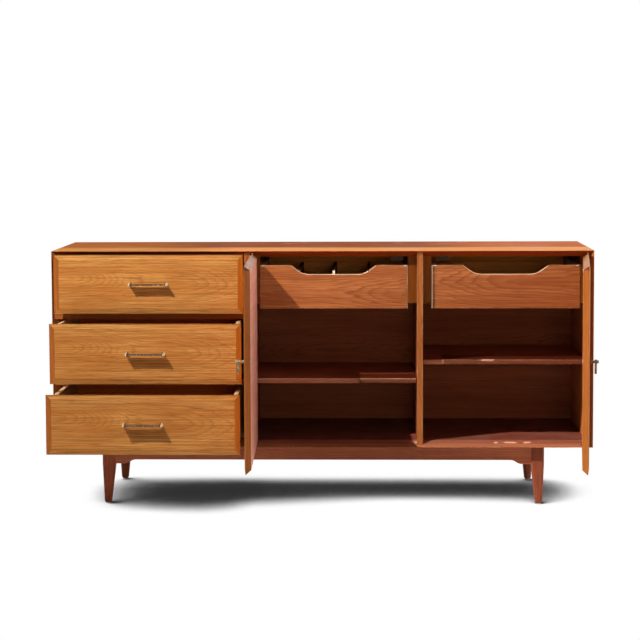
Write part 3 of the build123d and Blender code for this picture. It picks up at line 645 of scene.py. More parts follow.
class MaterialBench(NodeBench):
    """A bench for one new material, with its shader and the space and position of its piece."""

    def __init__(self, name: str, space: PieceSpace | None = None) -> None:
        """Start the material.

        Args:
            name: name of the material.
            space: space of the piece, where its box or turn matters.
        """
        self.material = bpy.data.materials.new(name)
        self.material.use_nodes = True
        super().__init__(self.material.node_tree)
        self.shader = self.tree.nodes["Principled BSDF"]
        self.space = space or PieceSpace()
        self.position = self.space.position(self)

    def boxed(self, effect: Effect, **inputs: Feed) -> Node:
        """Place a shared group that works from the box of the piece."""
        return self.place(effect, Position=self.position, Centre=tuple(self.space.centre),
                          Half_Size=tuple(self.space.half), **inputs)


@dataclass(frozen=True)
class WoodLayer:
    """The shaded result of one wood: colour, roughness and height sockets."""

    colour: NodeSocket
    roughness: NodeSocket
    height: NodeSocket


class FinishShop:
    """Makes the materials of the dresser from its finishes."""

    # Wood
    DRIFT_SPAN = (0.3, 0.7)
    FLAME_LIFT = 1.18
    FIBRE_SPAN = (0.36, 0.68)
    FIBRE_SHADE = 0.62
    DUST_TINT = (0.62, 0.58, 0.52)
    SMUDGE_ROUGH = 0.16
    FIBRE_ROUGH = 0.08
    PORE_DIP = -0.7
    FIBRE_DIP = -0.35
    BUMP_STRENGTH = 0.35
    BUMP_DEPTH = 0.0004
    WORN_ROUGH = 0.15
    BOARD_WEAR = 0.0022
    LIMIT_BLUR = 0.0006
    # Fronts
    FRONT_WEAR = 0.002
    BACK_SKIN = 0.0005
    BACK_BLUR = 0.0005
    JOINT_SHARE = 0.35
    JOINT_SHADE = 0.8
    # Painted shade on the upper edge of each front, behind its face, where the gap above it is in
    # shade
    RIM = 0.0128
    RIM_PAINTED_SHADE = (0.52, 0.44, 0.42)
    RIM_SET = 0.007
    # Metal and moulded pieces
    PATCH_SHARE = 0.5
    BRUSH_ROUGH = 0.1
    BRUSH_STRENGTH = 0.2
    BRUSH_DEPTH = 0.0001
    TIP_BLUR = 0.0012
    TIP_SHARE = 0.18
    BAR_LEAST = 0.75
    BAR_SHARE = 0.25
    MOULD_ROUGH = 0.2

    def wood_layer(self, bench: MaterialBench, finish: WoodFinish, cut: BoardCut) -> WoodLayer:
        """Shade one wood.

        Args:
            bench: bench of the material.
            finish: colours and strengths.
            cut: grain direction and pith line.

        Returns:
            The layer's sockets.
        """
        parts = bench.split(bench.position)
        centre = Vector([bench.space.centre[axis] for axis in cut.grain.value])
        grain = bench.place(
            Effect.BOARD_GRAIN, Position=bench.join(*(parts[axis] for axis in cut.grain.value)),
            Pith=tuple(centre + Vector(cut.pith)), Slope=cut.slope, Ring_Width=finish.ring_width,
            Wander=cut.wander, Swell_Length=cut.swell).outputs
        film = bench.place(Effect.DUST_FILM, Position=bench.position).outputs
        drift = bench.spread(grain["Drift"], *self.DRIFT_SPAN)
        colour = bench.blend(drift, opaque(finish.mid), opaque(finish.light))
        fibre = bench.spread(grain["Fibre"], *self.FIBRE_SPAN)
        for mask, share, over in (
                (grain["Flame"], finish.flame, shade(finish.light, self.FLAME_LIFT)),
                (grain["Ring"], finish.ring, finish.dark),
                (fibre, finish.fibre, shade(finish.mid, self.FIBRE_SHADE)),
                (grain["Pore"], finish.pore, finish.dark),
                (film["Dust"], finish.dust, self.DUST_TINT)):
            if share:
                colour = bench.blend(bench.times(mask, share), colour, opaque(over))
        smooth = finish.roughness - self.SMUDGE_ROUGH / 2
        rough = bench.scaled(film["Smudge"], self.SMUDGE_ROUGH, smooth)
        rough = bench.scaled(fibre, self.FIBRE_ROUGH, rough)
        height = bench.scaled(fibre, self.FIBRE_DIP, bench.times(grain["Pore"], self.PORE_DIP))
        return WoodLayer(colour, rough, height)

    def worn(self, bench: MaterialBench, finish: WoodFinish, layer: WoodLayer,
             reach: float) -> WoodLayer:
        """Rub the edges of a layer through to paler wood.

        Args:
            bench: bench of the material.
            finish: the wood.
            layer: its layer.
            reach: how far the rubbing reaches in from an edge.

        Returns:
            The rubbed layer.
        """
        wear = bench.boxed(Effect.EDGE_WEAR, Reach=reach).outputs["Wear"]
        colour = bench.blend(bench.times(wear, finish.wear), layer.colour, opaque(finish.worn))
        return WoodLayer(colour, bench.scaled(wear, self.WORN_ROUGH, layer.roughness), layer.height)

    def close(self, bench: MaterialBench, layer: WoodLayer, specular: float) -> Material:
        """Feed a layer into the shader of its material.

        Args:
            bench: bench of the material.
            layer: the finished layer.
            specular: strength of its sheen.

        Returns:
            The material.
        """
        normal = bench.bump(layer.height, self.BUMP_STRENGTH, self.BUMP_DEPTH)
        bench.fill(bench.shader, {"Base Color": layer.colour, "Roughness": layer.roughness,
                                  "Normal": normal, "Specular IOR Level": specular})
        return bench.material

    def board(self, name: str, space: PieceSpace, plan: BoardPlan, cut: BoardCut) -> Material:
        """Make the material of a board.

        Args:
            name: name of the material.
            space: space of the piece.
            plan: what the board shows.
            cut: grain direction and pith line.

        Returns:
            The material.
        """
        bench = MaterialBench(name, space)
        main = plan.finishes[plan.lead]
        layers = [self.wood_layer(bench, finish, cut) for finish in plan.finishes]
        colours = [layer.colour for layer in layers]
        # Painted highlight on the edges that look up
        if plan.painted_highlight:
            upper = bench.place(Effect.DUST_FILM, Position=bench.position).outputs["Crest"]
            colours[plan.lead] = bench.blend(upper, colours[plan.lead], opaque(plan.painted_highlight))
        colour = colours[0]
        for other, limit in zip(colours[1:], plan.limits):
            past = bench.beyond(bench.split(bench.position)[plan.axis], limit, self.LIMIT_BLUR)
            colour = bench.blend(past, colour, other)
        # Zones multiply painted light and shade into the colour
        for zone in plan.zones:
            aged = bench.place(Effect.AGED_ZONE, Position=bench.position, Start_X=zone.start_x,
                               Start_Y=zone.start_y, Soft_X=zone.soft_x, Soft_Y=zone.soft_y)
            colour = bench.blend(aged.outputs["Zone"], colour, opaque(zone.tint), "MULTIPLY")
        layer = WoodLayer(colour, layers[plan.lead].roughness, layers[0].height)
        layer = self.worn(bench, main, layer, self.BOARD_WEAR)
        colour = layer.colour
        if main.scuff:
            marks = bench.place(Effect.SCUFF_MARKS, Position=bench.position)
            amount = bench.times(marks.outputs["Scuff"], main.scuff)
            colour = bench.blend(amount, colour, opaque(main.worn))
        # Patches of worn wood, and of painted highlight and painted light
        for spot in plan.spots:
            patch = bench.place(Effect.WORN_SPOT, Position=bench.position, Centre=spot.centre,
                                Half_Size=spot.half).outputs["Spot"]
            colour = bench.blend(patch, colour, opaque(spot.colour))
        return self.close(bench, replace(layer, colour=colour), main.specular)

    def front(self, name: str, space: PieceSpace, plan: FrontPlan) -> Material:
        """Make a drawer or door front with mitred end strips and another wood on its back.

        Args:
            name: name of the material.
            space: space of the piece.
            plan: what the front shows.

        Returns:
            The material.
        """
        bench = MaterialBench(name, space)
        wide, deep, high = bench.split(bench.position)
        main = self.wood_layer(bench, plan.face, plan.face_cut)
        ends = self.wood_layer(bench, plan.strip, plan.strip_cut).colour
        back = self.wood_layer(bench, plan.back, plan.face_cut).colour
        edge = bench.boxed(Effect.MITRED_BORDER, Width=plan.border).outputs
        # Painted light on the right end strips
        if plan.right_painted_light:
            right = bench.maths("GREATER_THAN", wide, space.centre.x)
            ends = bench.blend(right, ends, opaque(plan.right_painted_light), "MULTIPLY")
        colour = bench.blend(edge["Ends"], main.colour, ends)
        line = bench.times(edge["Joint"], self.JOINT_SHARE)
        colour = bench.blend(line, colour, opaque(shade(plan.strip.dark, self.JOINT_SHADE)))
        back_start = space.centre.y + space.half.y - self.BACK_SKIN
        colour = bench.blend(bench.beyond(deep, back_start, self.BACK_BLUR), colour, back)
        # Painted shade along the upper edge behind the face
        rim_z = space.centre.z + space.half.z - self.RIM
        rim = bench.times(bench.beyond(high, rim_z, self.BACK_BLUR),
                          bench.beyond(deep, space.centre.y - self.RIM_SET, self.BACK_BLUR))
        colour = bench.blend(rim, colour, opaque(self.RIM_PAINTED_SHADE), "MULTIPLY")
        layer = WoodLayer(colour, main.roughness, main.height)
        layer = self.worn(bench, plan.face, layer, self.FRONT_WEAR)
        return self.close(bench, layer, plan.face.specular)

    def close_metal(self, bench: MaterialBench, finish: MetalFinish, brush: NodeSocket,
                    amount: NodeSocket) -> Material:
        """Feed a metal's colour, roughness and brush lines into its shader.

        Args:
            bench: bench of the material.
            finish: colours and surface.
            brush: height of the brush lines.
            amount: how far the metal has darkened.

        Returns:
            The material.
        """
        rough = bench.spread(amount, 0.0, 1.0, finish.roughness, finish.aged_roughness)
        bench.fill(bench.shader, {
            "Base Color": bench.blend(amount, opaque(finish.bright), opaque(finish.aged)),
            "Roughness": bench.scaled(brush, self.BRUSH_ROUGH, rough), "Metallic": 1.0,
            "Normal": bench.bump(brush, self.BRUSH_STRENGTH, self.BRUSH_DEPTH)})
        return bench.material

    def metal(self, name: str, finish: MetalFinish, dark: float = 0.5) -> Material:
        """Make an aged metal.

        Args:
            name: name of the material.
            finish: colours and surface.
            dark: share of the surface that has darkened.

        Returns:
            The material.
        """
        bench = MaterialBench(name)
        age = bench.place(Effect.TARNISH, Position=bench.position).outputs
        least = dark - self.PATCH_SHARE / 2
        amount = bench.scaled(age["Patch"], self.PATCH_SHARE, least, clamp=True)
        return self.close_metal(bench, finish, age["Brush"], amount)

    def tipped_bar(self, name: str, finish: MetalFinish, space: PieceSpace, tip: float) -> Material:
        """Make the metal of a bar pull: dark along the bar and rubbed bright at both ends.

        Args:
            name: name of the material.
            finish: colours and surface.
            space: space of the pull.
            tip: length of each bright end.

        Returns:
            The material.
        """
        bench = MaterialBench(name, space)
        age = bench.place(Effect.TARNISH, Position=bench.position).outputs
        offset = bench.minus(bench.split(bench.position)[0], space.centre.x)
        bar = bench.beyond(bench.maths("ABSOLUTE", offset), space.half.x - tip, -self.TIP_BLUR)
        dark = bench.times(bar, bench.scaled(age["Patch"], self.BAR_SHARE, self.BAR_LEAST))
        amount = bench.scaled(age["Patch"], self.TIP_SHARE, dark, clamp=True)
        return self.close_metal(bench, finish, age["Brush"], amount)

    def moulded(self, name: str, finish: MouldedFinish) -> Material:
        """Make a plain moulded piece with rubbed, dusty patches.

        Args:
            name: name of the material.
            finish: colours and surface.

        Returns:
            The material.
        """
        bench = MaterialBench(name)
        film = bench.place(Effect.DUST_FILM, Position=bench.position).outputs
        age = bench.place(Effect.TARNISH, Position=bench.position).outputs
        amount = bench.times(age["Patch"], film["Smudge"])
        bench.fill(bench.shader, {
            "Base Color": bench.blend(amount, opaque(finish.base), opaque(finish.pale)),
            "Roughness": bench.scaled(amount, self.MOULD_ROUGH, finish.roughness),
            "Specular IOR Level": finish.specular})
        return bench.material


SHOP = FinishShop()
WELD_GAP = 0.00002
EASE_SEGMENTS = 2
EASE_ANGLE = math.radians(25.0)
HEAD_SIDES = 14
HEAD_RINGS = 4
BACKWARD = Vector((0.0, 1.0, 0.0))


def dress(node: str, material: Material, ease: float = 0.0) -> None:
    """Give a CAD node its material and ease its edges.

    Args:
        node: name of the node.
        material: its finish.
        ease: width of the eased edge, or 0 to leave the edges as they are.
    """
    piece = frame["nodes"][node]
    piece.data.materials.clear()
    piece.data.materials.append(material)
    if ease:
        weld = piece.modifiers.new("closed_corners", "WELD")
        weld.merge_threshold = WELD_GAP
        bevel = piece.modifiers.new("eased_edges", "BEVEL")
        bevel.width = ease
        bevel.segments = EASE_SEGMENTS
        bevel.limit_method = "ANGLE"
        bevel.angle_limit = EASE_ANGLE
        bevel.harden_normals = True
    LOG.info("dressed %s with %s", node, material.name)


def chance_cut(node: str, grain: Grain) -> BoardCut:
    """Draw a pith line by chance from the piece's own name.

    Args:
        node: name that seeds the draw.
        grain: grain direction.

    Returns:
        The cut.
    """
    draw = random.Random(node)
    pith = (draw.uniform(-0.4, 0.4), draw.uniform(-0.05, 0.05), draw.uniform(0.03, 0.10))
    slope = (draw.uniform(-0.03, 0.03), draw.uniform(0.02, 0.06), draw.uniform(0.0, math.tau))
    return BoardCut(grain, pith, slope, draw.uniform(0.35, 0.7))


def dress_board(node: str, look: WoodFinish | BoardPlan, grain: Grain, ease: float = 0.0) -> None:
    """Give a CAD node a wood that is cut by chance.

    Args:
        node: name of the node.
        look: one finish for the whole board, or a plan of several.
        grain: grain direction.
        ease: width of the eased edge, or 0 to leave the edges as they are.
    """
    plan = look if isinstance(look, BoardPlan) else BoardPlan((look,))
    space = PieceSpace.of_node(node)
    dress(node, SHOP.board(f"{node}_wood", space, plan, chance_cut(node, grain)), ease)


def show(name: str, data: bpy.types.ID) -> bpy.types.Object:
    """Put a mesh, lamp or camera into the scene.

    Args:
        name: name of the new object.
        data: the mesh, lamp or camera.

    Returns:
        The object.
    """
    piece = bpy.data.objects.new(name, data)
    bpy.context.scene.collection.objects.link(piece)
    return piece


def domed_heads(name: str, places: list[tuple[Vector, Vector]], radius: float, rise: float,
                material: Material, body: str) -> None:
    """Build a set of round pin or screw heads as one mesh.

    Args:
        name: name of the new piece.
        places: foot point and outward direction of each head.
        radius: radius of a head.
        rise: height of a head.
        material: finish of the heads.
        body: body that they ride on.
    """
    mesh = bmesh.new()
    turns = [math.tau * step / HEAD_SIDES for step in range(HEAD_SIDES)]
    steps = [(step, (step + 1) % HEAD_SIDES) for step in range(HEAD_SIDES)]
    for foot, outward in places:
        spin = outward.to_track_quat("Z", "Y").to_matrix()
        rows = []
        for ring in range(HEAD_RINGS):
            lift = math.radians(90.0 * ring / HEAD_RINGS)
            wide, high = radius * math.cos(lift), rise * math.sin(lift)
            spots = [Vector((wide * math.cos(turn), wide * math.sin(turn), high)) for turn in turns]
            rows.append([mesh.verts.new(foot + spin @ spot) for spot in spots])
        crown = mesh.verts.new(foot + spin @ Vector((0.0, 0.0, rise)))
        for lower, upper in zip(rows, rows[1:]):
            for step, following in steps:
                mesh.faces.new((lower[step], lower[following], upper[following], upper[step]))
        for step, following in steps:
            mesh.faces.new((rows[-1][step], rows[-1][following], crown))
        mesh.faces.new(list(reversed(rows[0])))
    data = bpy.data.meshes.new(name)
    mesh.to_mesh(data)
    mesh.free()
    for polygon in data.polygons:
        polygon.use_smooth = len(polygon.vertices) < HEAD_SIDES
    data.materials.append(material)
    piece = show(name, data)
    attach(piece, body)
    LOG.info("built %s on %s", name, body)


@dataclass(frozen=True)
class ShelfLook:
    """One shelf: where its painted shade starts, its edge's tone, its painted highlight and a
    rubbed spot.
    """

    node: str
    painted_shade_start: float
    edge_tone: float
    painted_highlight: Colour | None = None
    rubbed_x: float | None = None


@dataclass
class CaseShell:
    """The case: mitred panels, partitions, back panel and the fixings in it."""

    ease: float = 0.0005
    skin: float = 0.0015
    strip: float = 0.013
    slope: float = 0.0275
    pale_patch: Colour = (0.62, 0.34, 0.22)
    # Painted light and shade on the top: golden at the left, darker at the rear, warmer at the
    # right rear
    top_light_and_shade: tuple[ToneAndShadeZone, ...] = (
        ToneAndShadeZone(0.47, -1.0, -0.34, 0.1, (0.70, 0.70, 0.55)),
        ToneAndShadeZone(0.43, 0.16, -0.24, 0.06, (0.62, 0.43, 0.25)),
        ToneAndShadeZone(0.38, 0.16, 0.24, 0.06, (0.34, 0.21, 0.17)),
        ToneAndShadeZone(-0.42, 0.16, 0.30, 0.06, (1.78, 1.70, 0.95)))
    scratch: Colour = (0.62, 0.36, 0.25)
    scratch_half: tuple[float, float] = (0.005, 0.002)
    scratches: tuple[Triple, ...] = (
        (-0.112, 0.36, 0.034), (-0.062, 0.39, 0.026), (0.24, 0.37, 0.024), (0.395, 0.35, 0.036),
        (0.452, 0.40, 0.022))
    chip_set: float = 0.017
    chip_drop: float = 0.006
    chip_half: tuple[float, float] = (0.005, 0.0035)
    chips: tuple[tuple[float, float], ...] = (
        (0.585, 0.024), (0.635, 0.014), (0.54, 0.008), (0.29, 0.018))
    light_pool_half: Triple = (0.4, 0.0012, 0.11)
    shelf_ease: float = 0.0035
    # Painted shade on each shelf's top towards the right, this deep behind the edge, standing in
    # for the trays' shadow, and lifted again on the edge
    shelf_depth: float = 0.108
    shelf_soft: Triple = (0.012, 0.010, 0.0008)
    shelf_painted_shade: Colour = (0.19, 0.125, 0.10)
    shelf_edge_shade_lift: Colour = (1.77, 2.3, 2.4)
    rubbed_half: Triple = (0.03, 0.012, 0.005)
    shelves: tuple[ShelfLook, ...] = (
        ShelfLook("shelf_left", 0.112, 0.62, painted_highlight=(0.80, 0.46, 0.31)),
        ShelfLook("shelf_right", 0.375, 0.65, rubbed_x=0.515))
    pin_radius: float = 0.0028
    pin_rise: float = 0.0011
    pin_pitch: float = 0.14
    pin_inset: float = 0.006

    def dress_top(self) -> None:
        """Finish the top with painted light and shade: golden at the left, dark at the rear, warm
        at the right; and scratched.
        """
        low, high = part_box("case_top")
        zones = tuple(zone.on_board(low, high) for zone in self.top_light_and_shade)
        marks = tuple(
            WearAndLightSpot((spot, low.y + back, high.z), (wide, *self.scratch_half), self.scratch)
            for spot, back, wide in self.scratches)
        plan = BoardPlan((UNDER_WOOD_SHADED, TOP_WOOD), (high.z - self.skin,), axis=2, lead=1, zones=zones,
                         spots=marks)
        dress_board("case_top", plan, Grain.X_ON_TOP, self.ease)

    def dress_panels(self) -> None:
        """Finish the bottom with its chipped front edge, the sides and the partitions."""
        low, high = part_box("case_bottom")
        chips = tuple(
            WearAndLightSpot((spot, low.y + self.chip_set, high.z - self.chip_drop),
                     (wide, *self.chip_half), self.pale_patch)
            for spot, wide in self.chips)
        plan = BoardPlan((STRIP_WOOD, EDGE_WOOD, FLOOR_WOOD),
                         (low.y + self.strip, low.y + self.slope), spots=chips)
        dress_board("case_bottom", plan, Grain.X_ON_TOP, self.ease)
        for side in ("case_side_left", "case_side_right"):
            dress_board(side, CASE_WOOD, Grain.Z_ON_SIDE, self.ease)
        for wall in ("partition_left", "partition_centre"):
            plan = BoardPlan((CASE_WOOD, INNER_WOOD), (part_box(wall)[0].y + self.skin,))
            dress_board(wall, plan, Grain.Z_ON_SIDE, self.ease)

    def dress_inside(self) -> None:
        """Finish the back panel with a painted pool of light behind each tray, the rails, runners,
        and the packing blocks in painted shade.
        """
        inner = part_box("back_panel")[0].y
        # Painted pools of light on the back panel, behind the trays
        pale = []
        for name in ("tray_left", "tray_right"):
            low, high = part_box(f"{name}_back")
            middle = ((low.x + high.x) / 2, inner, high.z)
            pale.append(WearAndLightSpot(middle, self.light_pool_half, TRAY_BACK_PAINTED_LIGHT.mid))
        dress_board("back_panel", BoardPlan((BACK_PLY,), spots=tuple(pale)), Grain.X_ON_FRONT)
        dress_board("drawer_rails", WALNUT_END, Grain.X_ON_TOP, self.ease)
        for node in ("drawer_runners", "tray_runners", "corner_blocks"):
            dress_board(node, PALE_WOOD, Grain.Y_ON_TOP, self.ease)
        # Packing blocks in painted shade
        dress_board("tray_fillers", BLOCK_WOOD_SHADED, Grain.Z_ON_SIDE, self.ease)

    def dress_shelves(self) -> None:
        """Finish the shelves: a paler front edge with painted light, and painted shade towards the
        right, for the trays' shadow.
        """
        soft_x, soft_y, soft_edge = self.shelf_soft
        for shelf in self.shelves:
            low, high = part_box(shelf.node)
            limit = low.y + self.shelf_ease
            start = shelf.painted_shade_start
            # Painted shade over the front of the top, and less of it on the edge
            zones = (ToneAndShadeZone(start, limit + self.shelf_depth, soft_x, -soft_y, self.shelf_painted_shade),
                     ToneAndShadeZone(start, limit, soft_x, -soft_edge, self.shelf_edge_shade_lift))
            spots = ()
            if shelf.rubbed_x:
                spots = (WearAndLightSpot((shelf.rubbed_x, low.y, high.z), self.rubbed_half, self.pale_patch),)
            plan = BoardPlan((SHELF_EDGE.toned(shelf.edge_tone), SHELF_TOP), (limit,), zones=zones,
                             spots=spots, painted_highlight=shelf.painted_highlight)
            dress_board(shelf.node, plan, Grain.X_ON_TOP, self.shelf_ease)

    def dress_fixings(self) -> None:
        """Finish the catches, pivot pins and shelf supports."""
        dress("door_catches", SHOP.moulded("door_catches_plastic", DARK_PLASTIC), self.ease)
        for node in ("door_pivot_pins", "shelf_supports"):
            dress(node, SHOP.metal(f"{node}_steel", STEEL))

    def pin_row(self, low: float, high: float) -> list[float]:
        """Space a row of pins between two edges.

        Args:
            low: place of the first edge.
            high: place of the second edge.

        Returns:
            The places of the pins, the outer ones set in from the edges.
        """
        count = round((high - low) / self.pin_pitch)
        span = high - low - 2 * self.pin_inset
        return [low + self.pin_inset + span * step / count for step in range(count + 1)]

    def build_back_pins(self) -> None:
        """Build the pin heads that hold the back panel at its edges and on the partitions."""
        low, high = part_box("back_panel")
        across, upward = self.pin_row(low.x, high.x), self.pin_row(low.z, high.z)
        walls = [sum(corner.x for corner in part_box(wall)) / 2
                 for wall in ("partition_left", "partition_centre")]
        spots = [(spot, height) for spot in across for height in (upward[0], upward[-1])]
        spots += [(spot, height) for height in upward[1:-1]
                  for spot in (*walls, across[0], across[-1])]
        places = [(Vector((spot, high.y, height)), BACKWARD) for spot, height in spots]
        domed_heads("back_panel_pins", places, self.pin_radius, self.pin_rise,
                    SHOP.metal("back_pins_steel", STEEL), "case")

    def build(self) -> None:
        """Dress and build everything in the case."""
        self.dress_top()
        self.dress_panels()
        self.dress_inside()
        self.dress_shelves()
        self.dress_fixings()
        self.build_back_pins()


@dataclass
class Drawer:
    """One drawer: its front, box and pull."""

    name: str
    leaf: int
    tone: float
    border: float = 0.016
    # Painted light on the right end strips
    right_painted_light: Colour = (1.38, 1.38, 0.9)
    pith: Triple = (0.0, 0.012, -0.058)
    leaf_step: float = 0.002
    slope: Triple = (0.02, 0.11, 2.31)
    swell: float = 0.348
    wander: float = 0.03
    side_tone: float = 0.8
    tip: float = 0.006
    ease: float = 0.0005

    def dress_front(self) -> None:
        """Finish the front with a flame figure cut from the same flitch on every drawer."""
        node = f"{self.name}_front"
        along, across, depth = self.pith
        face_cut = BoardCut(Grain.X_ON_FRONT, (along, across, depth - self.leaf_step * self.leaf),
                            self.slope, self.swell, self.wander)
        plan = FrontPlan(WALNUT.toned(self.tone), WALNUT_END.toned(self.tone), INNER_WOOD, face_cut,
                         chance_cut(node, Grain.Z_ON_FRONT), self.border, self.right_painted_light)
        dress(node, SHOP.front(f"{node}_wood", PieceSpace.of_node(node), plan), self.ease)

    def dress_box(self) -> None:
        """Finish the sides in pale wood, the back and floor in stained wood."""
        for part, grain, finish in (("sides", Grain.Y_ON_SIDE, PALE_WOOD.toned(self.side_tone)),
                                    ("back", Grain.X_ON_FRONT, BOX_WOOD),
                                    ("floor", Grain.X_ON_TOP, TRAY_WOOD)):
            dress_board(f"{self.name}_{part}", finish, grain, self.ease)

    def dress_pull(self) -> None:
        """Finish the bar pull in darkened brass with rubbed ends."""
        node = f"{self.name}_pull"
        dress(node, SHOP.tipped_bar(f"{node}_brass", BRASS, PieceSpace.of_node(node), self.tip))

    def build(self) -> None:
        """Dress the whole drawer."""
        self.dress_front()
        self.dress_box()
        self.dress_pull()


@dataclass
class Door:
    """One door with its strike, sleeves and drop pull."""

    name: str
    hand: int
    back: WoodFinish
    tone: float
    pull_age: float
    border: float = 0.016
    ease: float = 0.0005
    sleeve_age: float = 0.4
    steel_age: float = 0.3
    screw_age: float = 0.35
    screw_spread: float = 0.6
    screw_radius: float = 0.0022
    screw_rise: float = 0.0006

    def closed_space(self, node: str) -> PieceSpace:
        """Measure a node with the door turned shut.

        Args:
            node: name of the node.

        Returns:
            The space of the node.
        """
        joint = next(item for item in frame["joints"] if item["name"] == f"{self.name}_hinge")
        opened = -math.radians(joint["range_deg"][0])
        return PieceSpace.of_node(node, self.hand * opened, Vector(joint["pos_m"]))

    def dress_panel(self) -> None:
        """Finish the panel: figured outside, another wood inside."""
        node = f"{self.name}_panel"
        plan = FrontPlan(WALNUT, WALNUT_END.toned(self.tone), self.back,
                         chance_cut(node, Grain.X_ON_FRONT),
                         chance_cut(f"{node}_strip", Grain.Z_ON_FRONT), self.border)
        dress(node, SHOP.front(f"{node}_wood", self.closed_space(node), plan), self.ease)

    def dress_metal(self) -> None:
        """Finish the sleeves, strike and pull."""
        for part in ("pull_post", "pull_drop"):
            node = f"{self.name}_{part}"
            dress(node, SHOP.metal(f"{node}_brass", BRASS, self.pull_age))
        sleeves = SHOP.metal(f"{self.name}_sleeves_brass", BRASS, self.sleeve_age)
        dress(f"{self.name}_pivot_sleeves", sleeves)
        for part in ("pull_screw", "strike"):
            node = f"{self.name}_{part}"
            dress(node, SHOP.metal(f"{node}_steel", STEEL, self.steel_age))

    def build_strike_screws(self) -> None:
        """Build the two screw heads that hold the strike plate."""
        name = f"{self.name}_strike_screws"
        space = self.closed_space(f"{self.name}_strike")
        back = Matrix.Rotation(-space.turn, 3, "Z")
        places = []
        for side in (-1, 1):
            reach = side * space.half.x * self.screw_spread
            spot = space.centre + Vector((reach, space.half.y, 0.0))
            places.append((back @ spot + space.pivot, back @ BACKWARD))
        domed_heads(name, places, self.screw_radius, self.screw_rise,
                    SHOP.metal(f"{name}_steel", STEEL, self.screw_age), self.name)

    def build(self) -> None:
        """Dress the door and add its screws."""
        self.dress_panel()
        self.dress_metal()
        self.build_strike_screws()


@dataclass
class Tray:
    """One inner tray."""

    name: str
    divided: bool
    # Painted highlights on the front: pale strips of these widths at its ends, pale patches at its
    # upper corners, and a colour on its edges that look up, partly rubbed wear
    left_highlight: float = 0.0
    right_highlight: float = 0.0
    ease: float = 0.0005
    front_ease: float = 0.0022
    tip: float = 0.014
    pale_patch: Colour = (0.95, 0.80, 0.62)
    highlight_inset: float = 0.009
    highlight_set: float = 0.006
    highlight_half: Triple = (0.007, 0.04, 0.004)
    painted_highlight: Colour = (0.74, 0.48, 0.31)

    def dress_front(self) -> None:
        """Finish the scooped front, with painted highlights at its upper corners, along one end and
        on its edges that look up.
        """
        node = f"{self.name}_front"
        low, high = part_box(node)
        corner_highlights = tuple(WearAndLightSpot((spot, low.y + self.highlight_set, high.z), self.highlight_half, self.pale_patch)
                        for spot in (low.x + self.highlight_inset, high.x - self.highlight_inset))
        plan = BoardPlan((PALE_HIGHLIGHT, TRAY_WOOD, PALE_HIGHLIGHT),
                         (low.x + self.left_highlight, high.x - self.right_highlight), axis=0, lead=1,
                         spots=corner_highlights, painted_highlight=self.painted_highlight)
        dress_board(node, plan, Grain.X_ON_FRONT, self.front_ease)

    def dress_box(self) -> None:
        """Finish the box behind the front."""
        # The tray's back is painted light
        for part, grain, finish in (("sides", Grain.Y_ON_SIDE, PALE_WOOD),
                                    ("back", Grain.X_ON_FRONT, TRAY_BACK_PAINTED_LIGHT),
                                    ("floor", Grain.X_ON_TOP, PALE_WOOD)):
            dress_board(f"{self.name}_{part}", finish, grain, self.ease)

    def dress_dividers(self) -> None:
        """Finish the dividers in the tray's wood with painted highlights on their front ends."""
        node = f"{self.name}_dividers"
        plan = BoardPlan((PALE_HIGHLIGHT, TRAY_WOOD), (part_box(node)[0].y + self.tip,))
        dress_board(node, plan, Grain.Y_ON_SIDE, self.ease)

    def build(self) -> None:
        """Dress the whole tray."""
        self.dress_front()
        self.dress_box()
        if self.divided:
            self.dress_dividers()


@dataclass
class LegBase:
    """The base: legs, aprons and glides."""

    ease: float = 0.001
    left_painted_light: float = 1.4

    def build(self) -> None:
        """Dress the base in stained walnut, with painted light on the left legs, which are a tone
        lighter.
        """
        for node in ("legs_front", "legs_rear"):
            plan = BoardPlan((LEG_WOOD.toned(self.left_painted_light), LEG_WOOD), (0.0,), axis=0)
            dress_board(node, plan, Grain.Z_ON_FRONT)
        for node, grain in (("apron_front", Grain.X_ON_FRONT), ("apron_rear", Grain.X_ON_FRONT),
                            ("aprons_side", Grain.Y_ON_SIDE)):
            dress_board(node, APRON_WOOD, grain, self.ease)
        dress("floor_glides", SHOP.metal("floor_glides_steel", STEEL))


@dataclass(frozen=True)
class SoftLamp:
    """A broad soft lamp: where it hangs, what it is turned to, its width and its power."""

    name: str
    place: Triple
    target: Triple
    width: float
    power: float
    colour: Colour = (1.0, 1.0, 1.0)

    def build(self) -> None:
        """Hang the lamp."""
        data = bpy.data.lights.new(self.name, "AREA")
        data.energy = self.power
        data.size = self.width
        data.color = self.colour
        lamp = show(self.name, data)
        lamp.location = self.place
        aim = Vector(self.target) - Vector(self.place)
        lamp.rotation_mode = "QUATERNION"
        lamp.rotation_quaternion = aim.to_track_quat("-Z", "Y")
        LOG.info("hung %s", self.name)


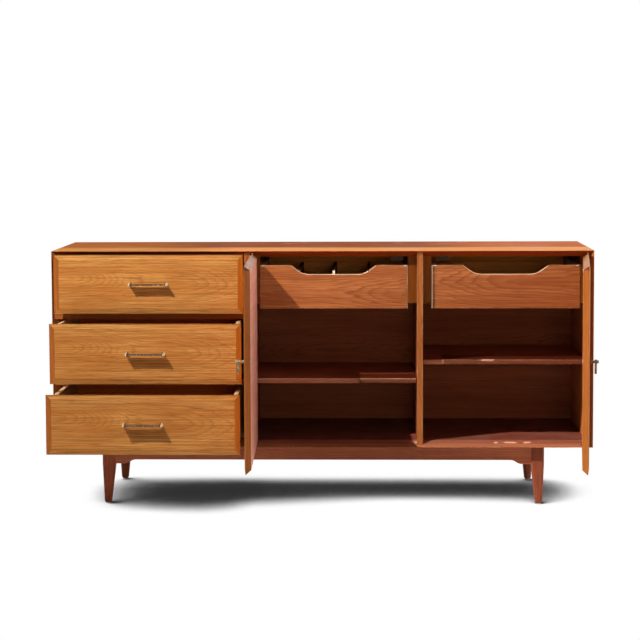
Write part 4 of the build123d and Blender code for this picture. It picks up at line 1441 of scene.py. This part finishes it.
@dataclass
class Studio:
    """Floor, light and camera."""

    eye: Triple = (0.14810, -5.36275, 1.16614)
    lens: float = 98.489
    sensor: float = 36.0
    yaw: float = 0.0284
    pitch: float = 0.0717
    roll: float = 0.0038
    lens_drop: float = -0.1
    key_place: Triple = (-1.60, -1.06, 2.465)
    key_power: float = 60.0
    key_radius: float = 0.009
    key_colour: Colour = (1.0, 0.97, 0.92)
    ambient: float = 0.04
    ambient_colour: Colour = (1.0, 0.97, 0.94)
    white: Colour = (1.0, 1.0, 1.0)
    floor_half: float = 14.0
    floor_bounce: float = 0.40
    # The floor's painted shadow: samples, reach, lean to the left front and curve of its ambient
    # occlusion
    shade_samples: int = 40
    shade_reach: float = 0.5
    shade_lean: Triple = (-0.36, -0.28, 0.89)
    shade_curve: Stops = ((0.12, 0.018), (0.34, 0.038), (0.53, 1.0))
    fills: tuple[SoftLamp, ...] = (
        SoftLamp("front_lamp", (0.5, -4.6, 1.02), (0.0, 0.2, 0.5), 0.7, 15.0, (1.0, 0.88, 0.72)),
        SoftLamp("right_lamp", (3.0, -1.2, 1.4), (-0.2, -0.25, 0.5), 1.2, 50.0),
        SoftLamp("rear_lamp", (1.6, 3.2, 2.6), (0.0, 0.25, 0.4), 2.2, 60.0))

    def mix_by_ray(self, bench: NodeBench, other: Node, seen: Node) -> NodeSocket:
        """Mix two shaders by the kind of ray.

        Args:
            bench: bench of the tree.
            other: shader for the rays that light the dresser.
            seen: shader for rays that show the background: seen, mirrored or seen through.

        Returns:
            The mixed shader.
        """
        path = bench.add("ShaderNodeLightPath").outputs
        mask = bench.maths("MAXIMUM", path["Is Camera Ray"], path["Is Glossy Ray"])
        mask = bench.maths("MAXIMUM", mask, path["Is Transmission Ray"])
        feeds = {0: mask, 1: other.outputs[0], 2: seen.outputs[0]}
        return bench.add("ShaderNodeMixShader", feeds).outputs[0]

    def build_world(self) -> None:
        """White to the eye and in reflections, low even light otherwise."""
        world = bpy.data.worlds.new("studio_air")
        world.use_nodes = True
        bpy.context.scene.world = world
        nodes = world.node_tree.nodes
        bench = NodeBench(world.node_tree)
        glow = bench.fill(nodes["Background"], {"Color": opaque(self.ambient_colour),
                                                "Strength": self.ambient})
        white = bench.add("ShaderNodeBackground", {"Color": opaque(self.white)})
        bench.fill(nodes["World Output"], {"Surface": self.mix_by_ray(bench, glow, white)})

    def floor_material(self) -> Material:
        """Make a finish that reads white, with a painted shadow under the case, and bounces some
        light.

        Returns:
            The material.
        """
        material = bpy.data.materials.new("pale_floor")
        material.use_nodes = True
        nodes = material.node_tree.nodes
        nodes.remove(nodes["Principled BSDF"])
        bench = NodeBench(material.node_tree)
        matte = bench.add("ShaderNodeBsdfDiffuse", {"Color": opaque((self.floor_bounce,) * 3)})
        # Painted shadow from ambient occlusion, shown to the camera, in reflections and seen
        # through, not cast by the lamps
        feeds = {"Distance": self.shade_reach, "Normal": bench.join(*self.shade_lean)}
        hidden = bench.add("ShaderNodeAmbientOcclusion", feeds, samples=self.shade_samples)
        tone = bench.ramp(hidden.outputs["AO"], self.shade_curve)
        glow = bench.add("ShaderNodeEmission", {"Color": tone})
        bench.fill(nodes["Material Output"], {"Surface": self.mix_by_ray(bench, matte, glow)})
        return material

    def build_floor(self) -> None:
        """A pale floor with a painted soft shadow under the case."""
        mesh = bmesh.new()
        bmesh.ops.create_grid(mesh, x_segments=1, y_segments=1, size=self.floor_half)
        data = bpy.data.meshes.new("floor")
        mesh.to_mesh(data)
        mesh.free()
        floor = show("floor", data)
        data.materials.append(self.floor_material())
        LOG.info("floor laid")

    def build_lights(self) -> None:
        """A small key lamp at the upper left and broad soft ones round the dresser."""
        key = bpy.data.lights.new("key_lamp", "POINT")
        key.energy = self.key_power
        key.shadow_soft_size = self.key_radius
        key.color = self.key_colour
        key.use_nodes = True
        bench = NodeBench(key.node_tree)
        level = bench.add("ShaderNodeLightFalloff", {"Strength": 1.0}).outputs["Constant"]
        bench.fill(key.node_tree.nodes["Emission"], {"Strength": level})
        show("key_lamp", key).location = self.key_place
        for fill in self.fills:
            fill.build()
        LOG.info("lights hung")

    def build_camera(self) -> None:
        """Stand the camera where the view of the dresser was taken from."""
        data = bpy.data.cameras.new("viewpoint")
        data.lens = self.lens
        data.sensor_width = self.sensor
        data.shift_y = self.lens_drop
        right = Vector((math.cos(self.yaw), math.sin(self.yaw), 0.0))
        level = math.cos(self.pitch)
        forward = Vector((-math.sin(self.yaw) * level, math.cos(self.yaw) * level,
                          -math.sin(self.pitch)))
        upward = right.cross(forward)
        tilted_right = math.cos(self.roll) * right - math.sin(self.roll) * upward
        tilted_up = math.sin(self.roll) * right + math.cos(self.roll) * upward
        turn = Matrix((tilted_right, tilted_up, -forward)).transposed().to_4x4()
        camera = show("viewpoint", data)
        camera.matrix_world = Matrix.Translation(Vector(self.eye)) @ turn
        bpy.context.scene.camera = camera

    def build(self) -> None:
        """Set up everything round the dresser."""
        bpy.context.scene.view_settings.view_transform = "Standard"
        self.build_world()
        self.build_floor()
        self.build_lights()
        self.build_camera()


def main() -> None:
    """Build the dresser in order."""
    logging.basicConfig(level=logging.INFO, format="%(name)s: %(message)s")
    SharedEffects().build()
    CaseShell().build()
    # Lower drawers are toned darker: painted shade for the light falling off lower down
    painted_falloff_tones = (("drawer_top", 1.0), ("drawer_middle", 0.95), ("drawer_bottom", 0.86))
    for leaf, (name, tone) in enumerate(painted_falloff_tones):
        Drawer(name, leaf, tone).build()
    # The left door's back is painted with sheen, and its end strips are toned darker than the right
    # door's: painted shade
    Door("door_left", hand=1, back=DOOR_BACK_SHEEN, tone=0.88, pull_age=0.8).build()
    Door("door_right", hand=-1, back=CASE_WOOD, tone=1.02, pull_age=0.97).build()
    Tray("tray_left", divided=True, right_highlight=0.0018).build()
    Tray("tray_right", divided=False, left_highlight=0.0042).build()
    LegBase().build()
    Studio().build()
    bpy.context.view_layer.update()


if __name__ == "__main__":
    main()
